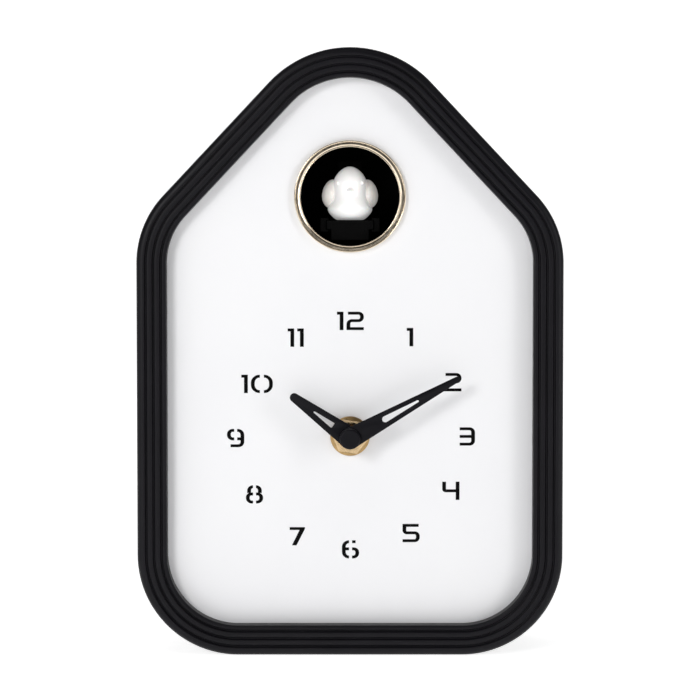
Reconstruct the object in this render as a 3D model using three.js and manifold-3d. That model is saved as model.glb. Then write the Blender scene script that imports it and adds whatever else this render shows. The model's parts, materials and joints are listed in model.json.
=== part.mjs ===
// A house-shaped quartz cuckoo clock: a black ribbed case, a white dial, a round window
// with a small white bird that slides out on a rack, and a two-hand quartz movement.
// Millimetres, +Z up, front towards -Y, +X to the right seen from the front.
// The origin is the centre of the footprint, on the surface that the clock stands on.
// "Depth" below is always measured backwards from the front plane of the bezel.

import * as THREE from 'three';
import { mergeVertices } from 'three/addons/utils/BufferGeometryUtils.js';
import Module from 'manifold-3d';

const wasm = await Module();
wasm.setup();

const radians = THREE.MathUtils.degToRad;
const QUARTER = Math.PI / 2;

// ---------------------------------------------------------------- driving dimensions

// Gaps between pieces
const FIT = 0.3; // between two pieces that are fixed to each other
const RUN = 0.3; // between two pieces that slide past each other
const BORE = 0.15; // radial, between a shaft and its bore

// Case
const CASE_WIDTH = 158.5;
const CASE_HEIGHT = 226;
const CASE_DEPTH = 60;
const HAND_STANDOUT = 7.5; // hand cap in front of the bezel
const ROOF_PITCH = radians(46.8);
const APEX_RADIUS = 41.2;
const EAVES_RADIUS = 36.4;
const FOOT_RADIUS = 37.5;
const WALL = 2.5;
const BEZEL_WIDTH = 11.1;
const EDGE_ROUND = 2.4;
const FIRST_GROOVE = 3.4; // from the outer edge to the middle of the first groove
const RIB_PITCH = 2.8;
const RIB_COUNT = 3;
const GROOVE_WIDTH = 0.9;
const GROOVE_DEPTH = 1.0;
const RIB_STEP = 0.35; // each rib stands this much lower than the one outside it

// Dial
const DIAL_RECESS = 7.5;
const DIAL_THICKNESS = 2;
const HANDS_HEIGHT = 81.5; // axis of the hands above the table
const WINDOW_HEIGHT = 170.9; // axis of the bird's window above the table

// Screws and bosses of the case
const BOSS_RADIUS = 3.8;
const COVER_RIM = 0.6; // cover left outside a screw head's recess
const PILOT_RADIUS = 1.3;
const PILOT_DEPTH = 12;
const SCREW_RADIUS = 1.1;
const SCREW_HEAD_RADIUS = 2.2;
const SCREW_HEAD_HEIGHT = 1.2;
const SCREW_LENGTH = 10;

// Window
const RING_OUTER_RADIUS = 20.8;
const RING_INNER_RADIUS = 18.4;
const RING_HEIGHT = 1.9; // flange in front of the dial
const RING_NECK_WALL = 1;
const TUNNEL_RADIUS = 18.5;
const TUNNEL_WALL = 1.5;
const TUNNEL_FLANGE = 4;
const TUNNEL_FLANGE_THICKNESS = 1.2;
const TUNNEL_END = 51; // depth of its back wall's rear face
const TUNNEL_CLOSED_TO = 18.5; // depth where its floor ends
const TUNNEL_CUT = 11.5; // the tunnel is open behind there from this far below its axis

// Bird and its carriage
const BIRD_TRAVEL = 20;
const TRAY_WIDTH = 17.3;
const TRAY_THICKNESS = 3.1;
const TRAY_BELOW_WINDOW = 9.1; // top of the tray below the window's axis
const TRAY_FRONT = 11;
const TRAY_LENGTH = 33;
const APRON_WIDTH = 14;
const APRON_HEIGHT = 4;
const APRON_THICKNESS = 1.5;
const TAB_WIDTH = 9;
const TAB_HEIGHT = 22.4;
const TAB_THICKNESS = 1.5;
const TAB_DEPTH = 33;
const BIRD_DEPTH_CENTRE = 19.5; // middle of the bird, front to back
const BIRD_STRETCH = 1.3; // length of the bird over its width
const BIRD_HEIGHT = 20.1;
const BEAK_HEIGHT = 11.4; // above the tray
const BEAK_LENGTH = 1.2;
const WING_REACH = 10.85; // wing tip from the middle
const WING_HALF = [3.9, 7.2, 5.4]; // half width, length and height of a wing
const WING_SET_BACK = 4; // middle of a wing behind the middle of the bird
const WING_HEIGHT = 9.8; // middle of a wing above the tray
const RAIL_WIDTH = 2.8;
const RAIL_LIP = 0.6;
const RAIL_OVERLAP = 0.45; // how far the tray's edge sits in the rail
const RAIL_FRONT = 12;

// Rack drive
const RACK_MODULE = 0.8;
const DRIVE_PINION_TEETH = 10;
const RACK_WIDTH = 4.4;
const DRIVE_MODULE = 0.5;
const DRIVE_GEAR_TEETH = 32;
const MOTOR_PINION_TEETH = 8;
const DRIVE_GEAR_WIDTH = 2.2;
const DRIVE_GEAR_CLEAR = 0.5; // between the gear and the rail beside it
const DRIVE_DEPTH = 30;
const RACK_BELOW_TRAY = 2.8; // pitch line of the rack below the tray's underside
const DRIVE_AXLE_RADIUS = 1;
const MOTOR_RADIUS = 6;
const MOTOR_LENGTH = 11;
const MOTOR_SHAFT_RADIUS = 0.75;
const MOTOR_FACE = -3.3; // X of the motor's output face
const MOTOR_WALL_THICKNESS = 1.2;

// Mechanism frame
const CHEEK_CLEAR = 1.1; // between the gear and the cheek beside it
const CHEEK_THICKNESS = 1.6;
const CHEEK_ABOVE_DRIVE = 5.1; // from the drive axle up to the top of the cheeks
const CHEEK_BELOW_MOTOR = 9.5; // from the motor's axis down to the frame's floor
const CHEEK_FRONT = 11.3;
const CHEEK_BACK = 49.5;

// Quartz movement
const MOVEMENT_SIZE = 56;
const MOVEMENT_FRONT_DEPTH = 10.8;
const MOVEMENT_SPLIT = 19;
const MOVEMENT_BACK_DEPTH = 27;
const MOVEMENT_WALL = 1.2;
const BUSHING_RADIUS = 4;
const BUSHING_TIP = 1.7;
const HOUR_TUBE_RADIUS = 2.55;
const MINUTE_ARBOR_RADIUS = 1.6;
const NUT_FLATS = 12;
const NUT_THICKNESS = 2.5;
const NUT_TURN = radians(52); // one corner of the nut, from +X
const WASHER_RADIUS = 7.4;
const WASHER_THICKNESS = 1;
const WHEEL_DISTANCE = 12; // hands' axis to the setting axis
const WHEEL_THICKNESS = 1.4;
const CANNON_THICKNESS = 2;
const CANNON_TEETH = 12;
const MINUTE_WHEEL_TEETH = 36;
const INTERMEDIATE_TEETH = 10;
const HOUR_WHEEL_TEETH = 40;
const SETTING_STEM_RADIUS = 1.5;
const SETTING_KNOB_RADIUS = 7;
const SETTING_KNOB_THICKNESS = 5;

// Hands
const HAND_THICKNESS = 0.8;
const HOUR_HAND_FRONT = -1.6;
const MINUTE_HAND_FRONT = -4.6;
const HOUR_HAND_LENGTH = 27.2;
const HOUR_HAND_TIP = 3.3;
const HOUR_HAND_ROOT = 7;
const HOUR_HAND_HUB = 4.4;
const HOUR_HAND_WINDOW = { near: 8.8, nearWidth: 2.1, far: 16.3, farWidth: 0.7 };
const HOUR_HAND_ANGLE = radians(306); // clockwise from upright, as set at rest
const MINUTE_HAND_LENGTH = 46.3;
const MINUTE_HAND_TIP = 2.1;
const MINUTE_HAND_ROOT = 6.4;
const MINUTE_HAND_HUB = 4.2;
const MINUTE_HAND_WINDOW = { near: 14.9, nearWidth: 2.3, far: 28.6, farWidth: 0.76 };
const MINUTE_HAND_ANGLE = radians(61);
const CAP_RADIUS = 3.8;
const CAP_HEIGHT = 2.6;

// Batteries
const BATTERY_RADIUS = 7.25;
const BATTERY_LENGTH = 50.5;
const BATTERY_SPACING = 16;
const BATTERY_LOW = 22.5; // height of the lower battery's axis
const BATTERY_SHIFT = 2.2; // each battery sits this far from its spring's side
const NIPPLE_RADIUS = 2.75;
const NIPPLE_LENGTH = 1;
const BATTERY_TRAY_WALL = 1.5;
const BATTERY_TRAY_FRONT = 38.5;
const SPRING_WIRE = 0.5;
const SPRING_TURNS = 3;

// Back cover
const COVER_THICKNESS = 2.5;
const DOOR_MARGIN = 2.4; // door past the tray's mouth at the sides and the top
const DOOR_THICKNESS = 1.6;
const DOOR_HINGE_RADIUS = 1.6;
const HINGE_PIN_RADIUS = 0.6;
const KEYHOLE_HEIGHT = 196;
const KEYHOLE_HEAD_RADIUS = 4.5;
const KEYHOLE_SLOT_RADIUS = 2.2;
const KEYHOLE_SLOT_LENGTH = 8;
const GRILLE_SLOTS = 7;
const GRILLE_SLOT_WIDTH = 2.2;
const GRILLE_PITCH = 4.4;

// Speaker and control board
const SPEAKER_X = -44;
const SPEAKER_HEIGHT = 112;
const SPEAKER_RADIUS = 18;
const BOARD_X = 44;
const BOARD_HEIGHT = 112;
const BOARD_WIDTH = 30;
const BOARD_TALL = 40;
const BOARD_THICKNESS = 1.6;
const BOARD_DEPTH = 47;
const SWITCH_TRAVEL = 4;
const SWITCH_HEIGHT = 120;
const SWITCH_KNOB = 3;
const SWITCH_BODY_HEIGHT = 4;
const BUTTON_TRAVEL = 1.5;
const BUTTON_HEIGHT = 104;
const BUTTON_RADIUS = 3;

// ---------------------------------------------------------------- places worked out

const FRONT_Y = HAND_STANDOUT - (CASE_DEPTH + HAND_STANDOUT) / 2;
const DIAL_BACK = DIAL_RECESS + DIAL_THICKNESS;
const COVER_FRONT = CASE_DEPTH - COVER_THICKNESS;
const BOSS_END = COVER_FRONT - FIT;
const APEX_CENTRE = CASE_HEIGHT - APEX_RADIUS;
const EAVES_X = CASE_WIDTH / 2 - EAVES_RADIUS;
const EAVES_CENTRE =
  (APEX_CENTRE * Math.cos(ROOF_PITCH) + APEX_RADIUS - EAVES_RADIUS - EAVES_X * Math.sin(ROOF_PITCH)) /
  Math.cos(ROOF_PITCH);
const FOOT_X = CASE_WIDTH / 2 - FOOT_RADIUS;
const ROOF_LEFT = QUARTER + ROOF_PITCH; // outward normal of the left roof slope

const TRAY_TOP = WINDOW_HEIGHT - TRAY_BELOW_WINDOW;
const TRAY_BOTTOM = TRAY_TOP - TRAY_THICKNESS;
const RAIL_LOW = TRAY_BOTTOM - RUN - RAIL_LIP;
const RAIL_HIGH = TRAY_TOP + RUN + RAIL_LIP;
const RAIL_INSIDE = TRAY_WIDTH / 2 - RAIL_OVERLAP;
const RACK_PITCH_HEIGHT = TRAY_BOTTOM - RACK_BELOW_TRAY;
const DRIVE_GEAR_START = RAIL_INSIDE + RAIL_WIDTH + DRIVE_GEAR_CLEAR; // X of its inner face
const CHEEK_INSIDE = DRIVE_GEAR_START + DRIVE_GEAR_WIDTH + CHEEK_CLEAR;
const DRIVE_HEIGHT = RACK_PITCH_HEIGHT - (RACK_MODULE * DRIVE_PINION_TEETH) / 2;
const MOTOR_HEIGHT = DRIVE_HEIGHT - (DRIVE_MODULE * (DRIVE_GEAR_TEETH + MOTOR_PINION_TEETH)) / 2;
const CHEEK_TOP = DRIVE_HEIGHT + CHEEK_ABOVE_DRIVE;
const CHEEK_BOTTOM = MOTOR_HEIGHT - CHEEK_BELOW_MOTOR;
const CHEEK_OUTSIDE = CHEEK_INSIDE + CHEEK_THICKNESS;
const CANNON_MODULE = (2 * WHEEL_DISTANCE) / (CANNON_TEETH + MINUTE_WHEEL_TEETH);
const HOUR_MODULE = (2 * WHEEL_DISTANCE) / (INTERMEDIATE_TEETH + HOUR_WHEEL_TEETH);
const SETTING_HEIGHT = HANDS_HEIGHT - WHEEL_DISTANCE;
const WHEEL_FRONT = MOVEMENT_FRONT_DEPTH + MOVEMENT_WALL + 1.1; // front face of the hour wheel
const CANNON_FRONT = WHEEL_FRONT + WHEEL_THICKNESS + FIT;
const CANNON_BACK = CANNON_FRONT + CANNON_THICKNESS;
const WASHER_BACK = DIAL_RECESS - FIT;
const NUT_BACK = WASHER_BACK - WASHER_THICKNESS - FIT;
const MOTOR_WALL_INSIDE = MOTOR_FACE + FIT;
const BOARD_BACK = BOARD_DEPTH + BOARD_THICKNESS;
const SWITCH_BODY_BACK = BOARD_BACK + FIT + SWITCH_BODY_HEIGHT;

const BATTERY_HIGH = BATTERY_LOW + BATTERY_SPACING;
const BATTERY_MIDDLE = (BATTERY_LOW + BATTERY_HIGH) / 2;
const BATTERY_DEPTH = BATTERY_TRAY_FRONT + BATTERY_TRAY_WALL + FIT + BATTERY_RADIUS;
const SPRING_LENGTH = 2 * BATTERY_SHIFT;
const TRAY_INSIDE_X = BATTERY_LENGTH / 2 + BATTERY_SHIFT + NIPPLE_LENGTH + 1.2;
const TRAY_INSIDE_Z = BATTERY_SPACING / 2 + BATTERY_RADIUS + FIT;
const TRAY_OUTSIDE_X = TRAY_INSIDE_X + BATTERY_TRAY_WALL;
const TRAY_OUTSIDE_Z = TRAY_INSIDE_Z + BATTERY_TRAY_WALL;
const DOOR_WIDTH = 2 * (TRAY_INSIDE_X + DOOR_MARGIN);
const DOOR_BOTTOM = BATTERY_MIDDLE - TRAY_OUTSIDE_Z - 2 * FIT - 2 * DOOR_HINGE_RADIUS;
const DOOR_TOP = BATTERY_MIDDLE + TRAY_INSIDE_Z + DOOR_MARGIN;
const HINGE_HEIGHT = DOOR_BOTTOM + DOOR_HINGE_RADIUS;
const HINGE_DEPTH = CASE_DEPTH - DOOR_HINGE_RADIUS;
const DOOR_KNUCKLE_REACH = DOOR_WIDTH / 4;
const PIN_REACH = DOOR_WIDTH / 2 - 2;

// ---------------------------------------------------------------- materials

function material(color, roughness, metalness = 0) {
  return new THREE.MeshStandardMaterial({ color, roughness, metalness });
}

const blackCase = material(0x16171a, 0.55);
const blackPlastic = material(0x121214, 0.6);
const greyPlastic = material(0x3a3c40, 0.6);
const whiteDial = material(0xf6f6f8, 0.45);
const whiteGloss = material(0xf7f7f5, 0.2);
const creamGloss = material(0xf3efe4, 0.25);
const champagne = material(0xd9c7a0, 0.2, 1);
const brass = material(0xb8925a, 0.35, 1);
const steel = material(0xb9bcc0, 0.35, 1);
const blackMetal = material(0x141416, 0.5, 0.3);
const copper = material(0xb26a3a, 0.4, 1);
const rubber = material(0x1b1b1c, 0.9);
const acetal = material(0xe9e6dc, 0.5);
const greenBoard = material(0x1f5a3a, 0.5);
const paperCone = material(0x2a2a2c, 0.9);
const batteryJacket = material(0x2f4f7a, 0.3);
const redLead = material(0xb32222, 0.5);
const blackLead = material(0x1a1a1a, 0.5);

// ---------------------------------------------------------------- building helpers

function ordered(a, b) {
  return a < b ? [a, b] : [b, a];
}

// Y of a depth behind the bezel's front plane
function front(depth) {
  return FRONT_Y + depth;
}

// Turns a closed mesh's faces outwards, whichever way its profile was drawn
function facingOut(geometry) {
  const position = geometry.attributes.position;
  const index = geometry.index.array;
  const [a, b, c] = [new THREE.Vector3(), new THREE.Vector3(), new THREE.Vector3()];
  let volume = 0;
  for (let i = 0; i < index.length; i += 3) {
    a.fromBufferAttribute(position, index[i]);
    b.fromBufferAttribute(position, index[i + 1]);
    c.fromBufferAttribute(position, index[i + 2]);
    volume += a.dot(b.cross(c));
  }
  if (volume < 0) {
    for (let i = 0; i < index.length; i += 3) {
      [index[i], index[i + 1]] = [index[i + 1], index[i]];
    }
  }
  return geometry;
}

// A closed mesh as a manifold solid
function solid(geometry) {
  const bare = geometry.clone();
  bare.deleteAttribute('normal');
  bare.deleteAttribute('uv');
  const merged = mergeVertices(bare, 1e-4);
  const corners = merged.index.array;
  const kept = [];
  for (let i = 0; i < corners.length; i += 3) {
    const [a, b, c] = [corners[i], corners[i + 1], corners[i + 2]];
    if (a !== b && b !== c && c !== a) {
      kept.push(a, b, c);
    }
  }
  const mesh = new wasm.Mesh({
    numProp: 3,
    vertProperties: Float32Array.from(merged.attributes.position.array),
    triVerts: Uint32Array.from(kept),
  });
  return new wasm.Manifold(mesh);
}

function geometryOf(manifold) {
  const mesh = manifold.getMesh();
  const geometry = new THREE.BufferGeometry();
  geometry.setAttribute('position', new THREE.BufferAttribute(mesh.vertProperties, 3));
  geometry.setIndex(new THREE.BufferAttribute(mesh.triVerts, 1));
  return geometry;
}

function joined(...geometries) {
  return geometryOf(geometries.map(solid).reduce((whole, piece) => whole.add(piece)));
}

function cut(body, ...tools) {
  return geometryOf(tools.map(solid).reduce((whole, tool) => whole.subtract(tool), solid(body)));
}

// A shape drawn in X and Z, extruded between two depths
function plate(shape, from, to, curveSegments = 8) {
  const geometry = new THREE.ExtrudeGeometry(shape, { depth: to - from, bevelEnabled: false, curveSegments });
  geometry.rotateX(Math.PI / 2);
  geometry.translate(0, front(to), 0);
  return geometry;
}

// A shape drawn in depth and Z, extruded along X
function sidePlate(shape, from, to, curveSegments = 8) {
  const geometry = new THREE.ExtrudeGeometry(shape, { depth: to - from, bevelEnabled: false, curveSegments });
  const turn = new THREE.Matrix4().makeBasis(
    new THREE.Vector3(0, 1, 0),
    new THREE.Vector3(0, 0, 1),
    new THREE.Vector3(1, 0, 0),
  );
  geometry.applyMatrix4(turn);
  geometry.translate(from, FRONT_Y, 0);
  return geometry;
}

// A block given by its limits in X, depth and Z
function block(x0, x1, depth0, depth1, z0, z1) {
  const geometry = new THREE.BoxGeometry(x1 - x0, depth1 - depth0, z1 - z0);
  geometry.translate((x0 + x1) / 2, front((depth0 + depth1) / 2), (z0 + z1) / 2);
  return geometry;
}

function profilePoints(profile) {
  return profile.map(([radius, along]) => new THREE.Vector2(radius, along));
}

// A profile of [radius, depth] turned about an axis along Y
function turnedY(profile, x, z, segments = 24) {
  const geometry = facingOut(new THREE.LatheGeometry(profilePoints(profile), segments));
  geometry.translate(x, FRONT_Y, z);
  return geometry;
}

// A profile of [radius, x] turned about an axis along X
function turnedX(profile, depth, z, segments = 16) {
  const geometry = facingOut(new THREE.LatheGeometry(profilePoints(profile), segments));
  geometry.rotateZ(-Math.PI / 2);
  geometry.translate(0, front(depth), z);
  return geometry;
}

function rodProfile(radius, from, to) {
  return [[0, from], [radius, from], [radius, to], [0, to]];
}

function tubeProfile(inner, outer, from, to) {
  return [[inner, from], [outer, from], [outer, to], [inner, to], [inner, from]];
}

function rodY(radius, from, to, x, z, segments = 16) {
  return turnedY(rodProfile(radius, from, to), x, z, segments);
}

function rodX(radius, from, to, depth, z, segments = 16) {
  return turnedX(rodProfile(radius, from, to), depth, z, segments);
}

// A closed outline of straight lines
function polygon(points) {
  return new THREE.Shape(points.map(([x, y]) => new THREE.Vector2(x, y)));
}

// A slot with round ends between two points
function slotShape(x0, z0, x1, z1, radius) {
  const angle = Math.atan2(z1 - z0, x1 - x0);
  const shape = new THREE.Shape();
  shape.absarc(x0, z0, radius, angle + Math.PI / 2, angle + (3 * Math.PI) / 2, false);
  shape.absarc(x1, z1, radius, angle - Math.PI / 2, angle + Math.PI / 2, false);
  return shape;
}

// A spur gear's outline: straight-flanked teeth, one of them centred on the angle given
function gearShape(teeth, module, toothAngle, centreX, centreY) {
  const pitchRadius = (teeth * module) / 2;
  const tip = pitchRadius + 0.85 * module;
  const root = pitchRadius - 1.2 * module;
  const step = (2 * Math.PI) / teeth;
  const points = [];
  for (let tooth = 0; tooth < teeth; tooth += 1) {
    const middle = toothAngle + tooth * step;
    for (const [radius, share] of [[root, -0.31], [tip, -0.1], [tip, 0.1], [root, 0.31]]) {
      const angle = middle + share * step;
      points.push([centreX + radius * Math.cos(angle), centreY + radius * Math.sin(angle)]);
    }
  }
  return polygon(points);
}

function gearTip(teeth, module) {
  return (teeth * module) / 2 + 0.85 * module;
}

// ---------------------------------------------------------------- the house outline

// Corners, clockwise seen from the front. Angles are those of the outward normals.
const HOUSE_CORNERS = [
  { x: 0, z: APEX_CENTRE, radius: APEX_RADIUS, turn: [ROOF_LEFT, QUARTER - ROOF_PITCH], steps: 12 },
  { x: EAVES_X, z: EAVES_CENTRE, radius: EAVES_RADIUS, turn: [QUARTER - ROOF_PITCH, 0], steps: 7 },
  { x: FOOT_X, z: FOOT_RADIUS, radius: FOOT_RADIUS, turn: [0, -QUARTER], steps: 10 },
  { x: -FOOT_X, z: FOOT_RADIUS, radius: FOOT_RADIUS, turn: [-QUARTER, -Math.PI], steps: 10 },
  { x: -EAVES_X, z: EAVES_CENTRE, radius: EAVES_RADIUS, turn: [-Math.PI, ROOF_LEFT - 4 * QUARTER], steps: 7 },
];

// The house outline moved inwards by an offset; every offset gives matching points
function houseOutline(offset) {
  const points = [];
  for (const corner of HOUSE_CORNERS) {
    const [first, last] = corner.turn;
    for (let i = 0; i <= corner.steps; i += 1) {
      const angle = first + ((last - first) * i) / corner.steps;
      const reach = corner.radius - offset;
      points.push([corner.x + reach * Math.cos(angle), corner.z + reach * Math.sin(angle)]);
    }
  }
  return points;
}

// A closed profile of [offset, depth] carried round the house outline
function houseSweep(profile) {
  const rings = profile.map(([offset, depth]) => ({ points: houseOutline(offset), y: front(depth) }));
  const around = rings[0].points.length;
  const positions = [];
  for (const ring of rings) {
    for (const [x, z] of ring.points) {
      positions.push(x, ring.y, z);
    }
  }
  const index = [];
  for (let j = 0; j < rings.length; j += 1) {
    const next = (j + 1) % rings.length;
    for (let i = 0; i < around; i += 1) {
      const after = (i + 1) % around;
      const [a, b, c, d] = [j * around + i, j * around + after, next * around + after, next * around + i];
      index.push(a, b, c, a, c, d);
    }
  }
  const geometry = new THREE.BufferGeometry();
  geometry.setAttribute('position', new THREE.Float32BufferAttribute(positions, 3));
  geometry.setIndex(index);
  return facingOut(geometry);
}

// Where the four cover screws are: inside the eaves and the feet
function bossPlaces() {
  const inside = WALL + FIT + COVER_RIM + FIT + SCREW_HEAD_RADIUS;
  return HOUSE_CORNERS.slice(1).map((corner) => {
    const angle = (corner.turn[0] + corner.turn[1]) / 2;
    const reach = corner.radius - inside;
    return { x: corner.x + reach * Math.cos(angle), z: corner.z + reach * Math.sin(angle) };
  });
}

// ---------------------------------------------------------------- case and dial

function bezelProfile() {
  const profile = [[0, CASE_DEPTH], [0, EDGE_ROUND], [0.29 * EDGE_ROUND, 0.29 * EDGE_ROUND], [EDGE_ROUND, 0]];
  for (let rib = 0; rib < RIB_COUNT; rib += 1) {
    const middle = FIRST_GROOVE + rib * RIB_PITCH;
    const top = rib * RIB_STEP;
    profile.push([middle - GROOVE_WIDTH / 2, top], [middle, top + GROOVE_DEPTH]);
    profile.push([middle + GROOVE_WIDTH / 2, top + RIB_STEP]);
  }
  const lipBack = DIAL_RECESS - FIT;
  profile.push([BEZEL_WIDTH, RIB_COUNT * RIB_STEP], [BEZEL_WIDTH, lipBack]);
  profile.push([WALL, lipBack], [WALL, CASE_DEPTH]);
  return profile;
}

function caseShell() {
  const bosses = bossPlaces().map(({ x, z }) => rodY(BOSS_RADIUS, DIAL_RECESS - 1, BOSS_END, x, z, 14));
  const pilotFront = BOSS_END - PILOT_DEPTH;
  const pilots = bossPlaces().map(({ x, z }) => rodY(PILOT_RADIUS, pilotFront, CASE_DEPTH, x, z, 8));
  return cut(joined(houseSweep(bezelProfile()), ...bosses), ...pilots);
}

function dialPlate() {
  const blank = plate(polygon(houseOutline(WALL + FIT)), DIAL_RECESS, DIAL_BACK);
  const past = [DIAL_RECESS - 1, DIAL_BACK + 1];
  const notches = bossPlaces().map(({ x, z }) => rodY(BOSS_RADIUS + FIT, ...past, x, z, 14));
  const neck = RING_INNER_RADIUS + RING_NECK_WALL;
  const windowHole = rodY(neck + FIT, ...past, 0, WINDOW_HEIGHT, 36);
  const bushingHole = rodY(BUSHING_RADIUS + FIT, ...past, 0, HANDS_HEIGHT);
  return cut(blank, ...notches, windowHole, bushingHole);
}

function windowRing() {
  const back = DIAL_RECESS - FIT;
  const top = back - RING_HEIGHT;
  const neck = RING_INNER_RADIUS + RING_NECK_WALL;
  const profile = [
    [RING_INNER_RADIUS, DIAL_BACK],
    [RING_INNER_RADIUS, top + 0.9],
    [RING_INNER_RADIUS + 0.3, top + 0.5],
    [RING_INNER_RADIUS + 0.6, top + 0.5],
    [RING_INNER_RADIUS + 0.7, top],
    [RING_OUTER_RADIUS - 0.8, top],
    [RING_OUTER_RADIUS - 0.2, top + 0.4],
    [RING_OUTER_RADIUS, top + 1],
    [RING_OUTER_RADIUS, back],
    [neck, back],
    [neck, DIAL_BACK],
    [RING_INNER_RADIUS, DIAL_BACK],
  ];
  return turnedY(profile, 0, WINDOW_HEIGHT, 36);
}

function windowTunnel() {
  const start = DIAL_BACK + FIT;
  const outer = TUNNEL_RADIUS + TUNNEL_WALL;
  const profile = [
    [0, TUNNEL_END],
    [0, TUNNEL_END - TUNNEL_WALL],
    [TUNNEL_RADIUS, TUNNEL_END - TUNNEL_WALL],
    [TUNNEL_RADIUS, start],
    [outer + TUNNEL_FLANGE, start],
    [outer + TUNNEL_FLANGE, start + TUNNEL_FLANGE_THICKNESS],
    [outer, start + TUNNEL_FLANGE_THICKNESS],
    [outer, TUNNEL_END],
    [0, TUNNEL_END],
  ];
  const far = outer + TUNNEL_FLANGE + 1;
  const openTop = WINDOW_HEIGHT - TUNNEL_CUT;
  const open = block(-far, far, TUNNEL_CLOSED_TO, TUNNEL_END + 1, WINDOW_HEIGHT - far, openTop);
  const railRoom = [-1, 1].map((side) => {
    const [x0, x1] = ordered(side * (RAIL_INSIDE - FIT), side * (RAIL_INSIDE + RAIL_WIDTH + FIT));
    return block(x0, x1, RAIL_FRONT - FIT, TUNNEL_CLOSED_TO + 1, RAIL_LOW - FIT, RAIL_HIGH + FIT);
  });
  const reach = gearTip(DRIVE_GEAR_TEETH, DRIVE_MODULE) + RUN;
  const [gearLow, gearHigh] = [DRIVE_HEIGHT - reach, DRIVE_HEIGHT + reach];
  const [gearFront, gearBack] = [DRIVE_DEPTH - reach, DRIVE_DEPTH + reach];
  const gearEnd = DRIVE_GEAR_START + DRIVE_GEAR_WIDTH + RUN;
  const gearRoom = block(DRIVE_GEAR_START - RUN, gearEnd, gearFront, gearBack, gearLow, gearHigh);
  return cut(turnedY(profile, 0, WINDOW_HEIGHT, 36), open, ...railRoom, gearRoom);
}

// ---------------------------------------------------------------- back cover

function doorOpening(margin) {
  const halfWidth = DOOR_WIDTH / 2 + margin;
  const [low, high] = [DOOR_BOTTOM - margin, DOOR_TOP + margin];
  return [-halfWidth, halfWidth, low, high];
}

function backCover() {
  const blank = plate(polygon(houseOutline(WALL + FIT)), COVER_FRONT, CASE_DEPTH);
  const past = [COVER_FRONT - 1, CASE_DEPTH + 1];
  const cuts = [];
  for (const { x, z } of bossPlaces()) {
    cuts.push(rodY(SCREW_RADIUS + FIT, ...past, x, z, 10));
    cuts.push(rodY(SCREW_HEAD_RADIUS + FIT, CASE_DEPTH - SCREW_HEAD_HEIGHT - FIT, CASE_DEPTH + 1, x, z, 14));
  }
  const [x0, x1, z0, z1] = doorOpening(FIT);
  cuts.push(block(x0, x1, ...past, z0, z1));
  cuts.push(rodY(SETTING_KNOB_RADIUS + 2 * RUN, ...past, 0, SETTING_HEIGHT, 24));
  cuts.push(rodY(KEYHOLE_HEAD_RADIUS, ...past, 0, KEYHOLE_HEIGHT, 16));
  const slotTop = KEYHOLE_HEIGHT + KEYHOLE_SLOT_LENGTH;
  cuts.push(plate(slotShape(0, KEYHOLE_HEIGHT, 0, slotTop, KEYHOLE_SLOT_RADIUS), ...past, 5));
  const half = SWITCH_KNOB / 2 + RUN;
  const switchEnd = BOARD_X + SWITCH_TRAVEL + half;
  cuts.push(block(BOARD_X - half, switchEnd, ...past, SWITCH_HEIGHT - half, SWITCH_HEIGHT + half));
  cuts.push(rodY(BUTTON_RADIUS + RUN, ...past, BOARD_X, BUTTON_HEIGHT, 16));
  for (let i = 0; i < GRILLE_SLOTS; i += 1) {
    const aside = (i - (GRILLE_SLOTS - 1) / 2) * GRILLE_PITCH;
    const reach = Math.sqrt((SPEAKER_RADIUS - 2) ** 2 - aside ** 2) - GRILLE_SLOT_WIDTH / 2;
    const x = SPEAKER_X + aside;
    const slot = slotShape(x, SPEAKER_HEIGHT - reach, x, SPEAKER_HEIGHT + reach, GRILLE_SLOT_WIDTH / 2);
    cuts.push(plate(slot, ...past, 3));
  }
  const knuckles = [-1, 1].map((side) => {
    const [start, end] = ordered(side * (DOOR_KNUCKLE_REACH + RUN), side * (DOOR_WIDTH / 2 + FIT + 1));
    return rodX(DOOR_HINGE_RADIUS, start, end, HINGE_DEPTH, HINGE_HEIGHT, 12);
  });
  const pinReach = PIN_REACH + FIT;
  const pinBore = rodX(HINGE_PIN_RADIUS + BORE, -pinReach, pinReach, HINGE_DEPTH, HINGE_HEIGHT, 12);
  return cut(joined(cut(blank, ...cuts), ...knuckles), pinBore);
}

function coverScrew({ x, z }) {
  const head = CASE_DEPTH - SCREW_HEAD_HEIGHT;
  const profile = [
    [0, head - SCREW_LENGTH],
    [SCREW_RADIUS, head - SCREW_LENGTH + SCREW_RADIUS],
    [SCREW_RADIUS, head],
    [SCREW_HEAD_RADIUS, head],
    [SCREW_HEAD_RADIUS, CASE_DEPTH - 0.4],
    [SCREW_HEAD_RADIUS - 0.4, CASE_DEPTH],
    [0, CASE_DEPTH],
  ];
  const arm = SCREW_HEAD_RADIUS * 0.6;
  const slots = [
    block(x - arm, x + arm, CASE_DEPTH - 0.7, CASE_DEPTH + 1, z - 0.35, z + 0.35),
    block(x - 0.35, x + 0.35, CASE_DEPTH - 0.7, CASE_DEPTH + 1, z - arm, z + arm),
  ];
  return cut(turnedY(profile, x, z, 10), ...slots);
}

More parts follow.
